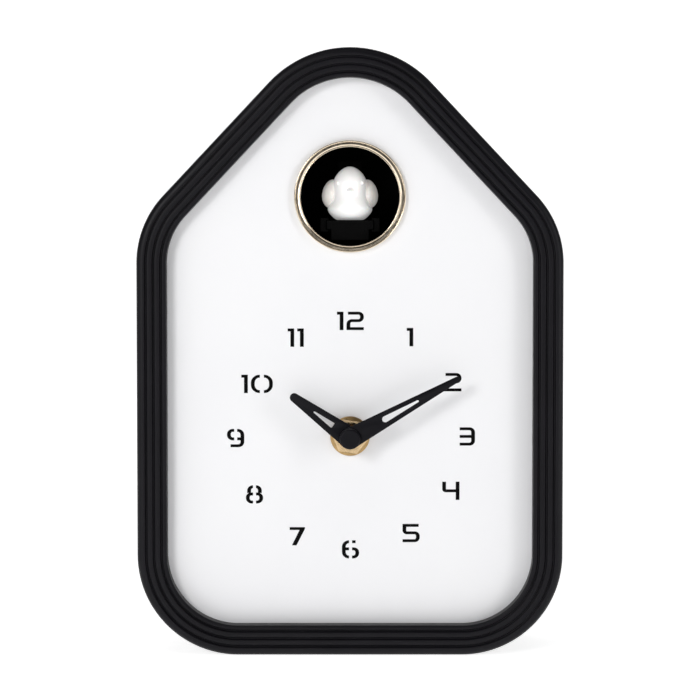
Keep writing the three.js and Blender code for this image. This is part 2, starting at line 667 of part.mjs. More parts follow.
function batteryDoor() {
  const [x0, x1, z0, z1] = doorOpening(0);
  const panelBottom = HINGE_HEIGHT + DOOR_HINGE_RADIUS + FIT;
  const panel = block(x0, x1, CASE_DEPTH - DOOR_THICKNESS, CASE_DEPTH, panelBottom, z1);
  const reach = DOOR_KNUCKLE_REACH;
  const knuckle = rodX(DOOR_HINGE_RADIUS, -reach, reach, HINGE_DEPTH, HINGE_HEIGHT, 12);
  const web = block(-reach, reach, CASE_DEPTH - DOOR_THICKNESS, CASE_DEPTH, HINGE_HEIGHT, HINGE_HEIGHT + 3);
  const bore = rodX(HINGE_PIN_RADIUS + BORE, x0, x1, HINGE_DEPTH, HINGE_HEIGHT, 12);
  const grip = rodX(2, -6, 6, CASE_DEPTH + 1.4, z1 - 5, 16);
  const body = joined(panel, knuckle, web);
  return cut(body, bore, grip, block(x0, x1, CASE_DEPTH, CASE_DEPTH + 4, z0, z1));
}

function hingePin() {
  return rodX(HINGE_PIN_RADIUS, -PIN_REACH, PIN_REACH, HINGE_DEPTH, HINGE_HEIGHT, 12);
}

// ---------------------------------------------------------------- batteries

function batteryTray() {
  const back = COVER_FRONT - FIT;
  const outside = block(
    -TRAY_OUTSIDE_X, TRAY_OUTSIDE_X,
    BATTERY_TRAY_FRONT, back,
    BATTERY_MIDDLE - TRAY_OUTSIDE_Z, BATTERY_MIDDLE + TRAY_OUTSIDE_Z,
  );
  const inside = block(
    -TRAY_INSIDE_X, TRAY_INSIDE_X,
    BATTERY_TRAY_FRONT + BATTERY_TRAY_WALL, back + 1,
    BATTERY_MIDDLE - TRAY_INSIDE_Z, BATTERY_MIDDLE + TRAY_INSIDE_Z,
  );
  return cut(outside, inside);
}

// side +1 has the positive end to the right
function battery(height, side) {
  const half = BATTERY_LENGTH / 2;
  const profile = [
    [0, -half],
    [BATTERY_RADIUS - 1, -half],
    [BATTERY_RADIUS, -half + 0.6],
    [BATTERY_RADIUS, half - NIPPLE_LENGTH - 0.6],
    [BATTERY_RADIUS - 1, half - NIPPLE_LENGTH],
    [NIPPLE_RADIUS, half - NIPPLE_LENGTH],
    [NIPPLE_RADIUS, half],
    [0, half],
  ];
  const geometry = turnedX(profile, 0, 0, 16);
  geometry.translate(0, -FRONT_Y, 0);
  if (side < 0) {
    geometry.rotateZ(Math.PI);
  }
  geometry.translate(side * BATTERY_SHIFT, front(BATTERY_DEPTH), height);
  return geometry;
}

// A cone of wire against a battery's flat end
function batterySpring(height, side) {
  class Coil extends THREE.Curve {
    getPoint(t) {
      const angle = 2 * Math.PI * SPRING_TURNS * t;
      const radius = 4.6 - 2 * t;
      const start = -side * (TRAY_INSIDE_X - FIT - SPRING_WIRE);
      const x = start + side * t * (SPRING_LENGTH - SPRING_WIRE);
      const depth = BATTERY_DEPTH + radius * Math.cos(angle);
      return new THREE.Vector3(x, front(depth), height + radius * Math.sin(angle));
    }
  }
  const section = new THREE.Shape();
  section.absarc(0, 0, SPRING_WIRE / 2, 0, 2 * Math.PI, false);
  return new THREE.ExtrudeGeometry(section, {
    steps: 10 * SPRING_TURNS,
    curveSegments: 3,
    bevelEnabled: false,
    extrudePath: new Coil(),
  });
}

function batteryContact(height, side) {
  const outer = side * (TRAY_INSIDE_X - FIT);
  const inner = outer - side * 0.5;
  const [x0, x1] = [Math.min(outer, inner), Math.max(outer, inner)];
  const strip = block(x0, x1, BATTERY_DEPTH - 5, BATTERY_DEPTH + 5, height - 5, height + 5);
  const foot = block(x0, x1, BATTERY_DEPTH + 4, BATTERY_DEPTH + 8, height - 1.5, height + 1.5);
  return joined(strip, foot);
}

// ---------------------------------------------------------------- quartz movement

function movementBox(from, to, openTo) {
  const half = MOVEMENT_SIZE / 2;
  const inner = half - MOVEMENT_WALL;
  const outside = block(-half, half, from, to, HANDS_HEIGHT - half, HANDS_HEIGHT + half);
  const hollowFrom = openTo === 'back' ? from + MOVEMENT_WALL : from - 1;
  const hollowTo = openTo === 'back' ? to + 1 : to - MOVEMENT_WALL;
  const hollow = block(-inner, inner, hollowFrom, hollowTo, HANDS_HEIGHT - inner, HANDS_HEIGHT + inner);
  return cut(outside, hollow);
}

function movementCaseFront() {
  const box = movementBox(MOVEMENT_FRONT_DEPTH, MOVEMENT_SPLIT - FIT / 2, 'back');
  return cut(box, rodY(BUSHING_RADIUS + FIT, 0, MOVEMENT_FRONT_DEPTH + 3, 0, HANDS_HEIGHT));
}

function movementCaseBack() {
  const box = movementBox(MOVEMENT_SPLIT + FIT / 2, MOVEMENT_BACK_DEPTH, 'front');
  const hole = rodY(SETTING_STEM_RADIUS + BORE, MOVEMENT_BACK_DEPTH - 3, CASE_DEPTH, 0, SETTING_HEIGHT, 12);
  return cut(box, hole);
}

function movementGasket() {
  const from = DIAL_BACK + FIT;
  const to = MOVEMENT_FRONT_DEPTH - FIT;
  return turnedY(tubeProfile(BUSHING_RADIUS + 0.6, 12, from, to), 0, HANDS_HEIGHT);
}

function threadedBushing() {
  const flangeFront = MOVEMENT_FRONT_DEPTH + MOVEMENT_WALL + FIT / 2;
  const bore = HOUR_TUBE_RADIUS + BORE;
  const profile = [
    [bore, BUSHING_TIP],
    [BUSHING_RADIUS - 0.5, BUSHING_TIP],
    [BUSHING_RADIUS, BUSHING_TIP + 0.5],
    [BUSHING_RADIUS, flangeFront],
    [BUSHING_RADIUS + 2.5, flangeFront],
    [BUSHING_RADIUS + 2.5, flangeFront + 0.6],
    [bore, flangeFront + 0.6],
    [bore, BUSHING_TIP],
  ];
  return turnedY(profile, 0, HANDS_HEIGHT);
}

function bushingWasher() {
  const from = WASHER_BACK - WASHER_THICKNESS;
  return turnedY(tubeProfile(BUSHING_RADIUS + FIT, WASHER_RADIUS, from, WASHER_BACK), 0, HANDS_HEIGHT);
}

function bushingNut() {
  const across = NUT_FLATS / 2 / Math.cos(Math.PI / 6);
  const corners = [];
  for (let i = 0; i < 6; i += 1) {
    const angle = NUT_TURN + (i * Math.PI) / 3;
    corners.push([across * Math.cos(angle), HANDS_HEIGHT + across * Math.sin(angle)]);
  }
  const shape = polygon(corners);
  const hole = new THREE.Path();
  hole.absarc(0, HANDS_HEIGHT, BUSHING_RADIUS + FIT / 2, 0, 2 * Math.PI, true);
  shape.holes.push(hole);
  return plate(shape, NUT_BACK - NUT_THICKNESS, NUT_BACK, 8);
}

function hourWheel() {
  const wheel = gearShape(HOUR_WHEEL_TEETH, HOUR_MODULE, -Math.PI / 2, 0, HANDS_HEIGHT);
  const disc = plate(wheel, WHEEL_FRONT, WHEEL_FRONT + WHEEL_THICKNESS);
  const tip = HOUR_HAND_FRONT - 0.3;
  const tube = rodY(HOUR_TUBE_RADIUS, tip, WHEEL_FRONT + WHEEL_THICKNESS, 0, HANDS_HEIGHT);
  const bore = rodY(MINUTE_ARBOR_RADIUS + BORE, tip - 1, CANNON_BACK, 0, HANDS_HEIGHT);
  return cut(joined(disc, tube), bore);
}

function minuteArbor() {
  const pinion = gearShape(CANNON_TEETH, CANNON_MODULE, -Math.PI / 2, 0, HANDS_HEIGHT);
  const gear = plate(pinion, CANNON_FRONT, CANNON_BACK);
  const tip = MINUTE_HAND_FRONT - 1.6;
  const arbor = rodY(MINUTE_ARBOR_RADIUS, tip, CANNON_BACK + 3, 0, HANDS_HEIGHT);
  return joined(gear, arbor);
}

function minuteWheel() {
  const away = Math.PI / 2;
  const largePhase = away + Math.PI / MINUTE_WHEEL_TEETH;
  const smallPhase = away + Math.PI / INTERMEDIATE_TEETH;
  const large = gearShape(MINUTE_WHEEL_TEETH, CANNON_MODULE, largePhase, 0, SETTING_HEIGHT);
  const small = gearShape(INTERMEDIATE_TEETH, HOUR_MODULE, smallPhase, 0, SETTING_HEIGHT);
  const disc = plate(large, CANNON_FRONT, CANNON_BACK);
  const pinion = plate(small, WHEEL_FRONT, CANNON_FRONT + 0.1);
  const arbor = rodY(1, WHEEL_FRONT - 0.8, CANNON_BACK + 2, 0, SETTING_HEIGHT, 12);
  return joined(disc, pinion, arbor);
}

function settingKnob() {
  const knobBack = CASE_DEPTH - 0.5;
  const knobFront = knobBack - SETTING_KNOB_THICKNESS;
  const stem = rodY(SETTING_STEM_RADIUS, CANNON_BACK + 2 + FIT, knobFront + 1, 0, SETTING_HEIGHT, 12);
  const grips = 20;
  const outline = [];
  for (let i = 0; i < 2 * grips; i += 1) {
    const angle = (i * Math.PI) / grips;
    const radius = i % 2 ? SETTING_KNOB_RADIUS - 0.5 : SETTING_KNOB_RADIUS;
    outline.push([radius * Math.cos(angle), SETTING_HEIGHT + radius * Math.sin(angle)]);
  }
  const knob = plate(polygon(outline), knobFront, knobBack);
  return joined(stem, knob);
}

function movementCoil() {
  const height = HANDS_HEIGHT + 18;
  const depth = MOVEMENT_FRONT_DEPTH + 8;
  const profile = [
    [0, -15], [1.2, -15], [1.2, -11], [3.8, -11], [3.8, -10.2], [3.2, -10.2],
    [3.2, 10.2], [3.8, 10.2], [3.8, 11], [1.2, 11], [1.2, 15], [0, 15],
  ];
  return turnedX(profile, depth, height, 14);
}

function movementStator() {
  const height = HANDS_HEIGHT + 18;
  const depth = MOVEMENT_FRONT_DEPTH + 8;
  const cross = block(-19, 19, depth - 2, depth - 1, height - 12, height - 8);
  const left = block(-19, -16, depth - 2, depth - 1, height - 9, height + 3);
  const right = block(16, 19, depth - 2, depth - 1, height - 9, height + 3);
  return joined(cross, left, right);
}

function movementBoard() {
  const face = MOVEMENT_BACK_DEPTH - 4;
  return block(-24, 24, face, face + 1, HANDS_HEIGHT + 4, HANDS_HEIGHT + 24);
}

function quartzCrystal() {
  const depth = MOVEMENT_BACK_DEPTH - 4 - FIT - 1.1;
  return rodX(1.1, 6, 13, depth, HANDS_HEIGHT + 8, 12);
}

// ---------------------------------------------------------------- hands

// A tapered hand that points up: hub disc, straight taper, round tip, and a window in it
function handShape(length, tipWidth, rootWidth, hubRadius, holeRadius, window) {
  const tipRadius = tipWidth / 2;
  const lean = Math.asin((rootWidth - tipWidth) / 2 / (length - tipRadius));
  const tipCentre = HANDS_HEIGHT + length - tipRadius;
  const hubTurn = Math.acos(rootWidth / 2 / hubRadius);
  const shape = new THREE.Shape();
  shape.absarc(0, HANDS_HEIGHT, hubRadius, Math.PI - hubTurn, 2 * Math.PI + hubTurn, false);
  shape.absarc(0, tipCentre, tipRadius, lean, Math.PI - lean, false);
  const hole = new THREE.Path();
  hole.absarc(0, HANDS_HEIGHT, holeRadius, 0, 2 * Math.PI, true);
  const slot = new THREE.Path();
  slot.absarc(0, HANDS_HEIGHT + window.near, window.nearWidth / 2, 0, Math.PI, true);
  slot.absarc(0, HANDS_HEIGHT + window.far, window.farWidth / 2, Math.PI, 0, true);
  shape.holes.push(hole, slot);
  return shape;
}

// Turned clockwise, seen from the front, about the hands' axis
function turnedHand(shape, depth, angle) {
  const geometry = plate(shape, depth, depth + HAND_THICKNESS, 8);
  geometry.translate(0, 0, -HANDS_HEIGHT);
  geometry.rotateY(angle);
  geometry.translate(0, 0, HANDS_HEIGHT);
  return geometry;
}

function hourHand() {
  const hole = HOUR_TUBE_RADIUS + BORE;
  const widths = [HOUR_HAND_TIP, HOUR_HAND_ROOT, HOUR_HAND_HUB];
  const shape = handShape(HOUR_HAND_LENGTH, ...widths, hole, HOUR_HAND_WINDOW);
  return turnedHand(shape, HOUR_HAND_FRONT, HOUR_HAND_ANGLE);
}

function minuteHand() {
  const hole = MINUTE_ARBOR_RADIUS + BORE;
  const widths = [MINUTE_HAND_TIP, MINUTE_HAND_ROOT, MINUTE_HAND_HUB];
  const shape = handShape(MINUTE_HAND_LENGTH, ...widths, hole, MINUTE_HAND_WINDOW);
  return turnedHand(shape, MINUTE_HAND_FRONT, MINUTE_HAND_ANGLE);
}

function handCap() {
  const tip = -HAND_STANDOUT;
  const bore = MINUTE_ARBOR_RADIUS + BORE;
  const boreEnd = MINUTE_HAND_FRONT - 1.6 - FIT;
  const base = tip + CAP_HEIGHT;
  const profile = [
    [0, tip],
    [CAP_RADIUS - 0.6, tip],
    [CAP_RADIUS - 0.18, tip + 0.18],
    [CAP_RADIUS, tip + 0.6],
    [CAP_RADIUS, base],
    [bore, base],
    [bore, boreEnd],
    [0, boreEnd],
  ];
  return turnedY(profile, 0, HANDS_HEIGHT);
}

// ---------------------------------------------------------------- bird and carriage

// Teeth on the underside of a bar: one gap is centred on the drive pinion
function rackShape() {
  const pitch = Math.PI * RACK_MODULE;
  const rootHeight = RACK_PITCH_HEIGHT + 1.2 * RACK_MODULE;
  const tipHeight = RACK_PITCH_HEIGHT - 0.85 * RACK_MODULE;
  const start = DRIVE_DEPTH - 1.5 * pitch;
  const end = DRIVE_DEPTH + BIRD_TRAVEL + 1.5 * pitch;
  const [rackFront, rackTop] = [TRAY_FRONT + 0.5, TRAY_BOTTOM + 0.5];
  const points = [[rackFront, rootHeight], [rackFront, rackTop], [end, rackTop], [end, rootHeight]];
  const flank = [[0.31, rootHeight], [0.1, tipHeight], [-0.1, tipHeight], [-0.31, rootHeight]];
  const teeth = Math.floor((end - start) / pitch);
  for (let tooth = teeth - 1; tooth >= 0; tooth -= 1) {
    const middle = start + pitch * (tooth + 1);
    for (const [share, height] of flank) {
      points.push([middle + share * pitch, height]);
    }
  }
  return polygon(points);
}

function birdCarriage() {
  const half = TRAY_WIDTH / 2;
  const tray = block(-half, half, TRAY_FRONT, TRAY_FRONT + TRAY_LENGTH, TRAY_BOTTOM, TRAY_TOP);
  const apronHalf = APRON_WIDTH / 2;
  const apronBack = TRAY_FRONT + APRON_THICKNESS;
  const apronLow = TRAY_BOTTOM - APRON_HEIGHT;
  const apron = block(-apronHalf, apronHalf, TRAY_FRONT, apronBack, apronLow, TRAY_BOTTOM + 1);
  const tabEnd = TAB_DEPTH + TAB_THICKNESS;
  const tab = block(-TAB_WIDTH / 2, TAB_WIDTH / 2, TAB_DEPTH, tabEnd, TRAY_TOP - 1, TRAY_TOP + TAB_HEIGHT);
  const rack = sidePlate(rackShape(), -RACK_WIDTH / 2, RACK_WIDTH / 2);
  return joined(tray, apron, tab, rack);
}

// Body and head in one: a turned form about a vertical axis, longer than it is wide
function birdForm() {
  const base = TRAY_TOP + FIT;
  const heights = [0, 0, 0.4, 1.5, 2.7, 4, 5.9, 7.4, 12.1, 14.6, 16.5, 18.4, 19.6, BIRD_HEIGHT];
  const radii = [0, 4.8, 5.6, 6.9, 7.9, 8.4, 7.6, 6.65, 6.35, 6.2, 5.3, 3.75, 1.9, 0];
  const profile = heights.map((height, i) => new THREE.Vector2(radii[i], height));
  const geometry = facingOut(new THREE.LatheGeometry(profile, 20));
  geometry.rotateX(Math.PI / 2);
  geometry.scale(1, BIRD_STRETCH, 1);
  geometry.translate(0, front(BIRD_DEPTH_CENTRE), base);
  return geometry;
}

function birdBody() {
  const tip = BIRD_DEPTH_CENTRE - 7 * BIRD_STRETCH - BEAK_LENGTH;
  const profile = [[0, tip], [0.5, tip + 0.3], [1.4, tip + 3], [0, tip + 4]];
  const beak = turnedY(profile, 0, TRAY_TOP + BEAK_HEIGHT, 10);
  return joined(birdForm(), beak);
}

// A flattened leaf held to the side of the body
function birdWing(side) {
  const geometry = new THREE.SphereGeometry(1, 14, 8);
  geometry.scale(...WING_HALF);
  geometry.rotateY(side * radians(8));
  const middle = front(BIRD_DEPTH_CENTRE + WING_SET_BACK);
  geometry.translate(side * (WING_REACH - WING_HALF[0]), middle, TRAY_TOP + WING_HEIGHT);
  const clearance = birdForm();
  clearance.translate(0, -front(BIRD_DEPTH_CENTRE), -(TRAY_TOP + BIRD_HEIGHT / 2));
  clearance.scale(1.07, 1.05, 1.04);
  clearance.translate(0, front(BIRD_DEPTH_CENTRE), TRAY_TOP + BIRD_HEIGHT / 2);
  return cut(geometry, clearance);
}

function guideRail(side) {
  const outer = RAIL_INSIDE + RAIL_WIDTH;
  const slot = TRAY_WIDTH / 2 + RUN;
  const shape = polygon([
    [side * RAIL_INSIDE, RAIL_LOW],
    [side * outer, RAIL_LOW],
    [side * outer, RAIL_HIGH],
    [side * RAIL_INSIDE, RAIL_HIGH],
    [side * RAIL_INSIDE, TRAY_TOP + RUN],
    [side * slot, TRAY_TOP + RUN],
    [side * slot, TRAY_BOTTOM - RUN],
    [side * RAIL_INSIDE, TRAY_BOTTOM - RUN],
  ]);
  return plate(shape, RAIL_FRONT, TUNNEL_END - TUNNEL_WALL - FIT);
}

// ---------------------------------------------------------------- rack drive

function driveGear() {
  const half = RACK_WIDTH / 2;
  const pinionShape = gearShape(DRIVE_PINION_TEETH, RACK_MODULE, Math.PI / 2, DRIVE_DEPTH, DRIVE_HEIGHT);
  const gear = gearShape(DRIVE_GEAR_TEETH, DRIVE_MODULE, -Math.PI / 2, DRIVE_DEPTH, DRIVE_HEIGHT);
  const end = DRIVE_GEAR_START + DRIVE_GEAR_WIDTH;
  const pinion = sidePlate(pinionShape, -half, half);
  const sleeve = rodX(2.2, -half, end, DRIVE_DEPTH, DRIVE_HEIGHT, 20);
  const disc = sidePlate(gear, DRIVE_GEAR_START, end);
  const bore = rodX(DRIVE_AXLE_RADIUS + BORE, -half - 1, end + 1, DRIVE_DEPTH, DRIVE_HEIGHT, 16);
  return cut(joined(pinion, sleeve, disc), bore);
}

function driveAxle() {
  const reach = CHEEK_OUTSIDE + 0.5;
  return rodX(DRIVE_AXLE_RADIUS, -reach, reach, DRIVE_DEPTH, DRIVE_HEIGHT, 16);
}

function birdMotor() {
  const end = MOTOR_FACE - MOTOR_LENGTH;
  const can = rodX(MOTOR_RADIUS, end, MOTOR_FACE, DRIVE_DEPTH, MOTOR_HEIGHT, 20);
  const flat = MOTOR_RADIUS * 0.84;
  const far = MOTOR_RADIUS + 1;
  const sides = [
    block(end - 1, 0, DRIVE_DEPTH - far, DRIVE_DEPTH - flat, MOTOR_HEIGHT - far, MOTOR_HEIGHT + far),
    block(end - 1, 0, DRIVE_DEPTH + flat, DRIVE_DEPTH + far, MOTOR_HEIGHT - far, MOTOR_HEIGHT + far),
    rodX(MOTOR_SHAFT_RADIUS + BORE, MOTOR_FACE - 3, 0, DRIVE_DEPTH, MOTOR_HEIGHT, 12),
  ];
  return cut(can, ...sides);
}

function motorPinion() {
  const phase = Math.PI / 2 + Math.PI / MOTOR_PINION_TEETH;
  const shape = gearShape(MOTOR_PINION_TEETH, DRIVE_MODULE, phase, DRIVE_DEPTH, MOTOR_HEIGHT);
  const end = DRIVE_GEAR_START + DRIVE_GEAR_WIDTH;
  const pinion = sidePlate(shape, DRIVE_GEAR_START, end);
  const shaft = rodX(MOTOR_SHAFT_RADIUS, MOTOR_FACE - 2.5, end, DRIVE_DEPTH, MOTOR_HEIGHT, 12);
  return joined(pinion, shaft);
}

// A U-shaped bracket that carries the axle, the motor and the back ends of the rails
function mechanismFrame() {
  const floorTop = CHEEK_BOTTOM + CHEEK_THICKNESS;
  const floor = block(-CHEEK_OUTSIDE, CHEEK_OUTSIDE, CHEEK_FRONT + 8, CHEEK_BACK, CHEEK_BOTTOM, floorTop);
  const pieces = [floor];
  for (const side of [-1, 1]) {
    const [x0, x1] = ordered(side * CHEEK_INSIDE, side * CHEEK_OUTSIDE);
    pieces.push(block(x0, x1, CHEEK_FRONT, CHEEK_BACK, CHEEK_BOTTOM, CHEEK_TOP));
    const shelfFront = DRIVE_DEPTH + gearTip(DRIVE_GEAR_TEETH, DRIVE_MODULE) + 1;
    const [s0, s1] = ordered(side * (TRAY_WIDTH / 2), side * (CHEEK_INSIDE + 0.5));
    const shelfTop = RAIL_LOW - FIT;
    pieces.push(block(s0, s1, shelfFront, CHEEK_BACK, shelfTop - 1.6, shelfTop));
  }
  const wallTop = DRIVE_HEIGHT - gearTip(DRIVE_PINION_TEETH, RACK_MODULE) - 2 * FIT;
  const wallEnd = MOTOR_WALL_INSIDE + MOTOR_WALL_THICKNESS;
  const wallHalf = MOTOR_RADIUS + 2;
  const wall = [DRIVE_DEPTH - wallHalf, DRIVE_DEPTH + wallHalf, CHEEK_BOTTOM + 1, wallTop];
  pieces.push(block(MOTOR_WALL_INSIDE, wallEnd, ...wall));
  const past = CHEEK_OUTSIDE + 1;
  const axleHole = rodX(DRIVE_AXLE_RADIUS + BORE, -past, past, DRIVE_DEPTH, DRIVE_HEIGHT, 16);
  const shaftHole = rodX(MOTOR_SHAFT_RADIUS + 2 * BORE, -8, 8, DRIVE_DEPTH, MOTOR_HEIGHT, 12);
  return cut(joined(...pieces), axleHole, shaftHole);
}

// ---------------------------------------------------------------- speaker

function speakerBasket() {
  const back = COVER_FRONT - FIT;
  const profile = [
    [9.5, 48], [11, 48], [SPEAKER_RADIUS - 1, back - 2.5],
    [SPEAKER_RADIUS, back - 1.5], [SPEAKER_RADIUS, back],
    [SPEAKER_RADIUS - 2.2, back], [SPEAKER_RADIUS - 2.2, back - 1.8], [10.6, 49.2], [9.5, 49.2], [9.5, 48],
  ];
  return turnedY(profile, SPEAKER_X, SPEAKER_HEIGHT, 20);
}

function speakerMagnet() {
  return turnedY(rodProfile(9, 42.5, 48 - FIT), SPEAKER_X, SPEAKER_HEIGHT, 20);
}

function speakerCone() {
  const back = COVER_FRONT - FIT;
  const rim = SPEAKER_RADIUS - 2.6;
  const profile = [
    [0, 50.3], [4, 49.9], [rim - 1.6, back - 2.2], [rim, back - 2.2], [rim, back - 1.7],
    [rim - 1.9, back - 1.6], [5, 50.8], [3, 52], [0, 52.6],
  ];
  return turnedY(profile, SPEAKER_X, SPEAKER_HEIGHT, 20);
}

// ---------------------------------------------------------------- control board

function controlBoard() {
  const [low, high] = [BOARD_HEIGHT - BOARD_TALL / 2, BOARD_HEIGHT + BOARD_TALL / 2];
  const half = BOARD_WIDTH / 2;
  const back = BOARD_DEPTH + BOARD_THICKNESS;
  const board = block(BOARD_X - half, BOARD_X + half, BOARD_DEPTH, back, low, high);
  const chipDepth = [BOARD_DEPTH - 1.5, BOARD_DEPTH + 0.5];
  const chip = block(BOARD_X - 10, BOARD_X - 2, ...chipDepth, BOARD_HEIGHT - 4, BOARD_HEIGHT + 4);
  const [aside, up] = [half - 3, BOARD_TALL / 2 - 3];
  const holes = [-1, 1].map((end) =>
    rodY(1.4, BOARD_DEPTH - 1, back + 1, BOARD_X + end * aside, BOARD_HEIGHT + end * up, 12),
  );
  return cut(joined(board, chip), ...holes);
}


function switchBody() {
  const [x0, x1] = [BOARD_X - 4.5, BOARD_X + SWITCH_TRAVEL + 4.5];
  const body = block(x0, x1, BOARD_BACK + FIT, SWITCH_BODY_BACK, SWITCH_HEIGHT - 3, SWITCH_HEIGHT + 3);
  const half = SWITCH_KNOB / 2 + RUN;
  const slot = block(
    BOARD_X - half, BOARD_X + SWITCH_TRAVEL + half,
    SWITCH_BODY_BACK - 2, SWITCH_BODY_BACK + 1,
    SWITCH_HEIGHT - half, SWITCH_HEIGHT + half,
  );
  return cut(body, slot);
}

function modeSwitch() {
  const half = SWITCH_KNOB / 2;
  const back = CASE_DEPTH - 0.6;
  const [low, high] = [SWITCH_HEIGHT - half, SWITCH_HEIGHT + half];
  const knob = block(BOARD_X - half, BOARD_X + half, SWITCH_BODY_BACK - 1.5, back, low, high);
  const grooveDepth = [back - 0.6, back + 1];
  const groove = block(BOARD_X - 0.4, BOARD_X + 0.4, ...grooveDepth, SWITCH_HEIGHT - 3, SWITCH_HEIGHT + 3);
  return cut(knob, groove);
}

function buttonBody() {
  const front0 = BOARD_BACK + FIT;
  const [low, high] = [BUTTON_HEIGHT - 3.5, BUTTON_HEIGHT + 3.5];
  const body = block(BOARD_X - 3.5, BOARD_X + 3.5, front0, front0 + 3.5, low, high);
  return cut(body, rodY(2 + RUN, front0 + 1, front0 + 6, BOARD_X, BUTTON_HEIGHT, 16));
}

function testButton() {
  const start = BOARD_BACK + FIT + 1 + BUTTON_TRAVEL + RUN;
  const back = CASE_DEPTH - 0.5;
  const profile = [
    [0, start], [1.9, start], [1.9, start + 2.5], [BUTTON_RADIUS, start + 2.5],
    [BUTTON_RADIUS, back - 0.5], [BUTTON_RADIUS - 0.5, back], [0, back],
  ];
  return turnedY(profile, BOARD_X, BUTTON_HEIGHT, 20);
}

// ---------------------------------------------------------------- internal leads

// A round lead along hand-chosen points of [x, depth, z]
function lead(points, radius = 0.7) {
  const spots = points.map(([x, depth, z]) => new THREE.Vector3(x, front(depth), z));
  const path = new THREE.CatmullRomCurve3(spots);
  const section = new THREE.Shape();
  section.absarc(0, 0, radius, 0, 2 * Math.PI, false);
  return new THREE.ExtrudeGeometry(section, {
    steps: 5 * (points.length - 1),
    curveSegments: 3,
    bevelEnabled: false,
    extrudePath: path,
  });
}

function batteryLead(shift) {
  const start = TRAY_OUTSIDE_X + 1.2;
  return lead([
    [start, 48 + shift, BATTERY_MIDDLE + 4],
    [start + 8, 46 + shift, BATTERY_MIDDLE + 24],
    [start + 12, 45 + shift, BATTERY_MIDDLE + 46],
    [BOARD_X + 4, 45 + shift, BOARD_HEIGHT - BOARD_TALL / 2 - 3],
  ]);
}

function motorLead() {
  return lead([
    [BOARD_X - 8, BOARD_DEPTH + 1, BOARD_HEIGHT + BOARD_TALL / 2 + 1.5],
    [BOARD_X - 14, 42, BOARD_HEIGHT + BOARD_TALL / 2 + 6],
    [CHEEK_OUTSIDE + 7.6, DRIVE_DEPTH + 4, MOTOR_HEIGHT - 0.5],
    [CHEEK_OUTSIDE + 2.1, DRIVE_DEPTH, MOTOR_HEIGHT - 2.5],
  ]);
}

function speakerLead() {
  return lead([
    [BOARD_X - BOARD_WIDTH / 2 - 1.5, BOARD_DEPTH + 1, BOARD_HEIGHT + 8],
    [16, 42, BOARD_HEIGHT + 12],
    [-16, 38, BOARD_HEIGHT + 8],
    [SPEAKER_X + 14, 42, SPEAKER_HEIGHT + 2],
    [SPEAKER_X + 10.5, 44.5, SPEAKER_HEIGHT],
  ]);
}

// ---------------------------------------------------------------- assembly

const clock = new THREE.Group();

function place(name, geometry, look) {
  const mesh = new THREE.Mesh(geometry, look);
  mesh.name = name;
  clock.add(mesh);
}

place('case_shell', caseShell(), blackCase);
place('dial_plate', dialPlate(), whiteDial);
place('window_ring', windowRing(), champagne);
place('window_tunnel', windowTunnel(), blackPlastic);
place('back_cover', backCover(), blackPlastic);
bossPlaces().forEach((spot, i) => place(`cover_screw_${i + 1}`, coverScrew(spot), steel));
place('battery_door', batteryDoor(), blackPlastic);
place('door_hinge_pin', hingePin(), steel);

place('battery_tray', batteryTray(), blackPlastic);
for (const [number, height, side] of [[1, BATTERY_LOW, 1], [2, BATTERY_HIGH, -1]]) {
  place(`battery_${number}`, battery(height, side), batteryJacket);
  place(`battery_spring_${number}`, batterySpring(height, side), steel);
  place(`battery_contact_${number}`, batteryContact(height, side), steel);
}

place('movement_case_front', movementCaseFront(), blackPlastic);
place('movement_case_back', movementCaseBack(), greyPlastic);
place('movement_gasket', movementGasket(), rubber);
place('threaded_bushing', threadedBushing(), brass);
place('bushing_washer', bushingWasher(), brass);
place('bushing_nut', bushingNut(), brass);
place('hour_wheel', hourWheel(), acetal);
place('minute_arbor', minuteArbor(), acetal);
place('minute_wheel', minuteWheel(), acetal);
place('setting_knob', settingKnob(), acetal);
place('movement_coil', movementCoil(), copper);
place('movement_stator', movementStator(), steel);
place('movement_board', movementBoard(), greenBoard);
place('quartz_crystal', quartzCrystal(), steel);

place('hour_hand', hourHand(), blackMetal);
place('minute_hand', minuteHand(), blackMetal);
place('hand_cap', handCap(), blackMetal);

place('bird_carriage', birdCarriage(), blackPlastic);
place('bird_body', birdBody(), whiteGloss);
place('bird_wing_left', birdWing(-1), creamGloss);
place('bird_wing_right', birdWing(1), creamGloss);
place('guide_rail_left', guideRail(-1), blackPlastic);
place('guide_rail_right', guideRail(1), blackPlastic);
place('mechanism_frame', mechanismFrame(), blackPlastic);
place('drive_gear', driveGear(), acetal);
place('drive_axle', driveAxle(), steel);
place('bird_motor', birdMotor(), steel);
place('motor_pinion', motorPinion(), brass);

place('speaker_basket', speakerBasket(), steel);
place('speaker_cone', speakerCone(), paperCone);
place('speaker_magnet', speakerMagnet(), steel);
place('control_board', controlBoard(), greenBoard);
place('switch_body', switchBody(), steel);
place('mode_switch', modeSwitch(), blackPlastic);
place('button_body', buttonBody(), blackPlastic);
place('test_button', testButton(), blackPlastic);
place('battery_lead_red', batteryLead(0), redLead);
place('battery_lead_black', batteryLead(2.2), blackLead);
place('motor_lead', motorLead(), redLead);
place('speaker_lead', speakerLead(), blackLead);

export default clock;
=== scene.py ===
"""Looks of the cuckoo clock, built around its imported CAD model.

Metres, +Z up, front towards -Y. Most shapes are given in millimetres and in "depth", which is
measured backwards from the front plane of the bezel; point() turns them into scene metres.
"""

import json
import math

import bpy
import bmesh
from mathutils import Matrix, Vector


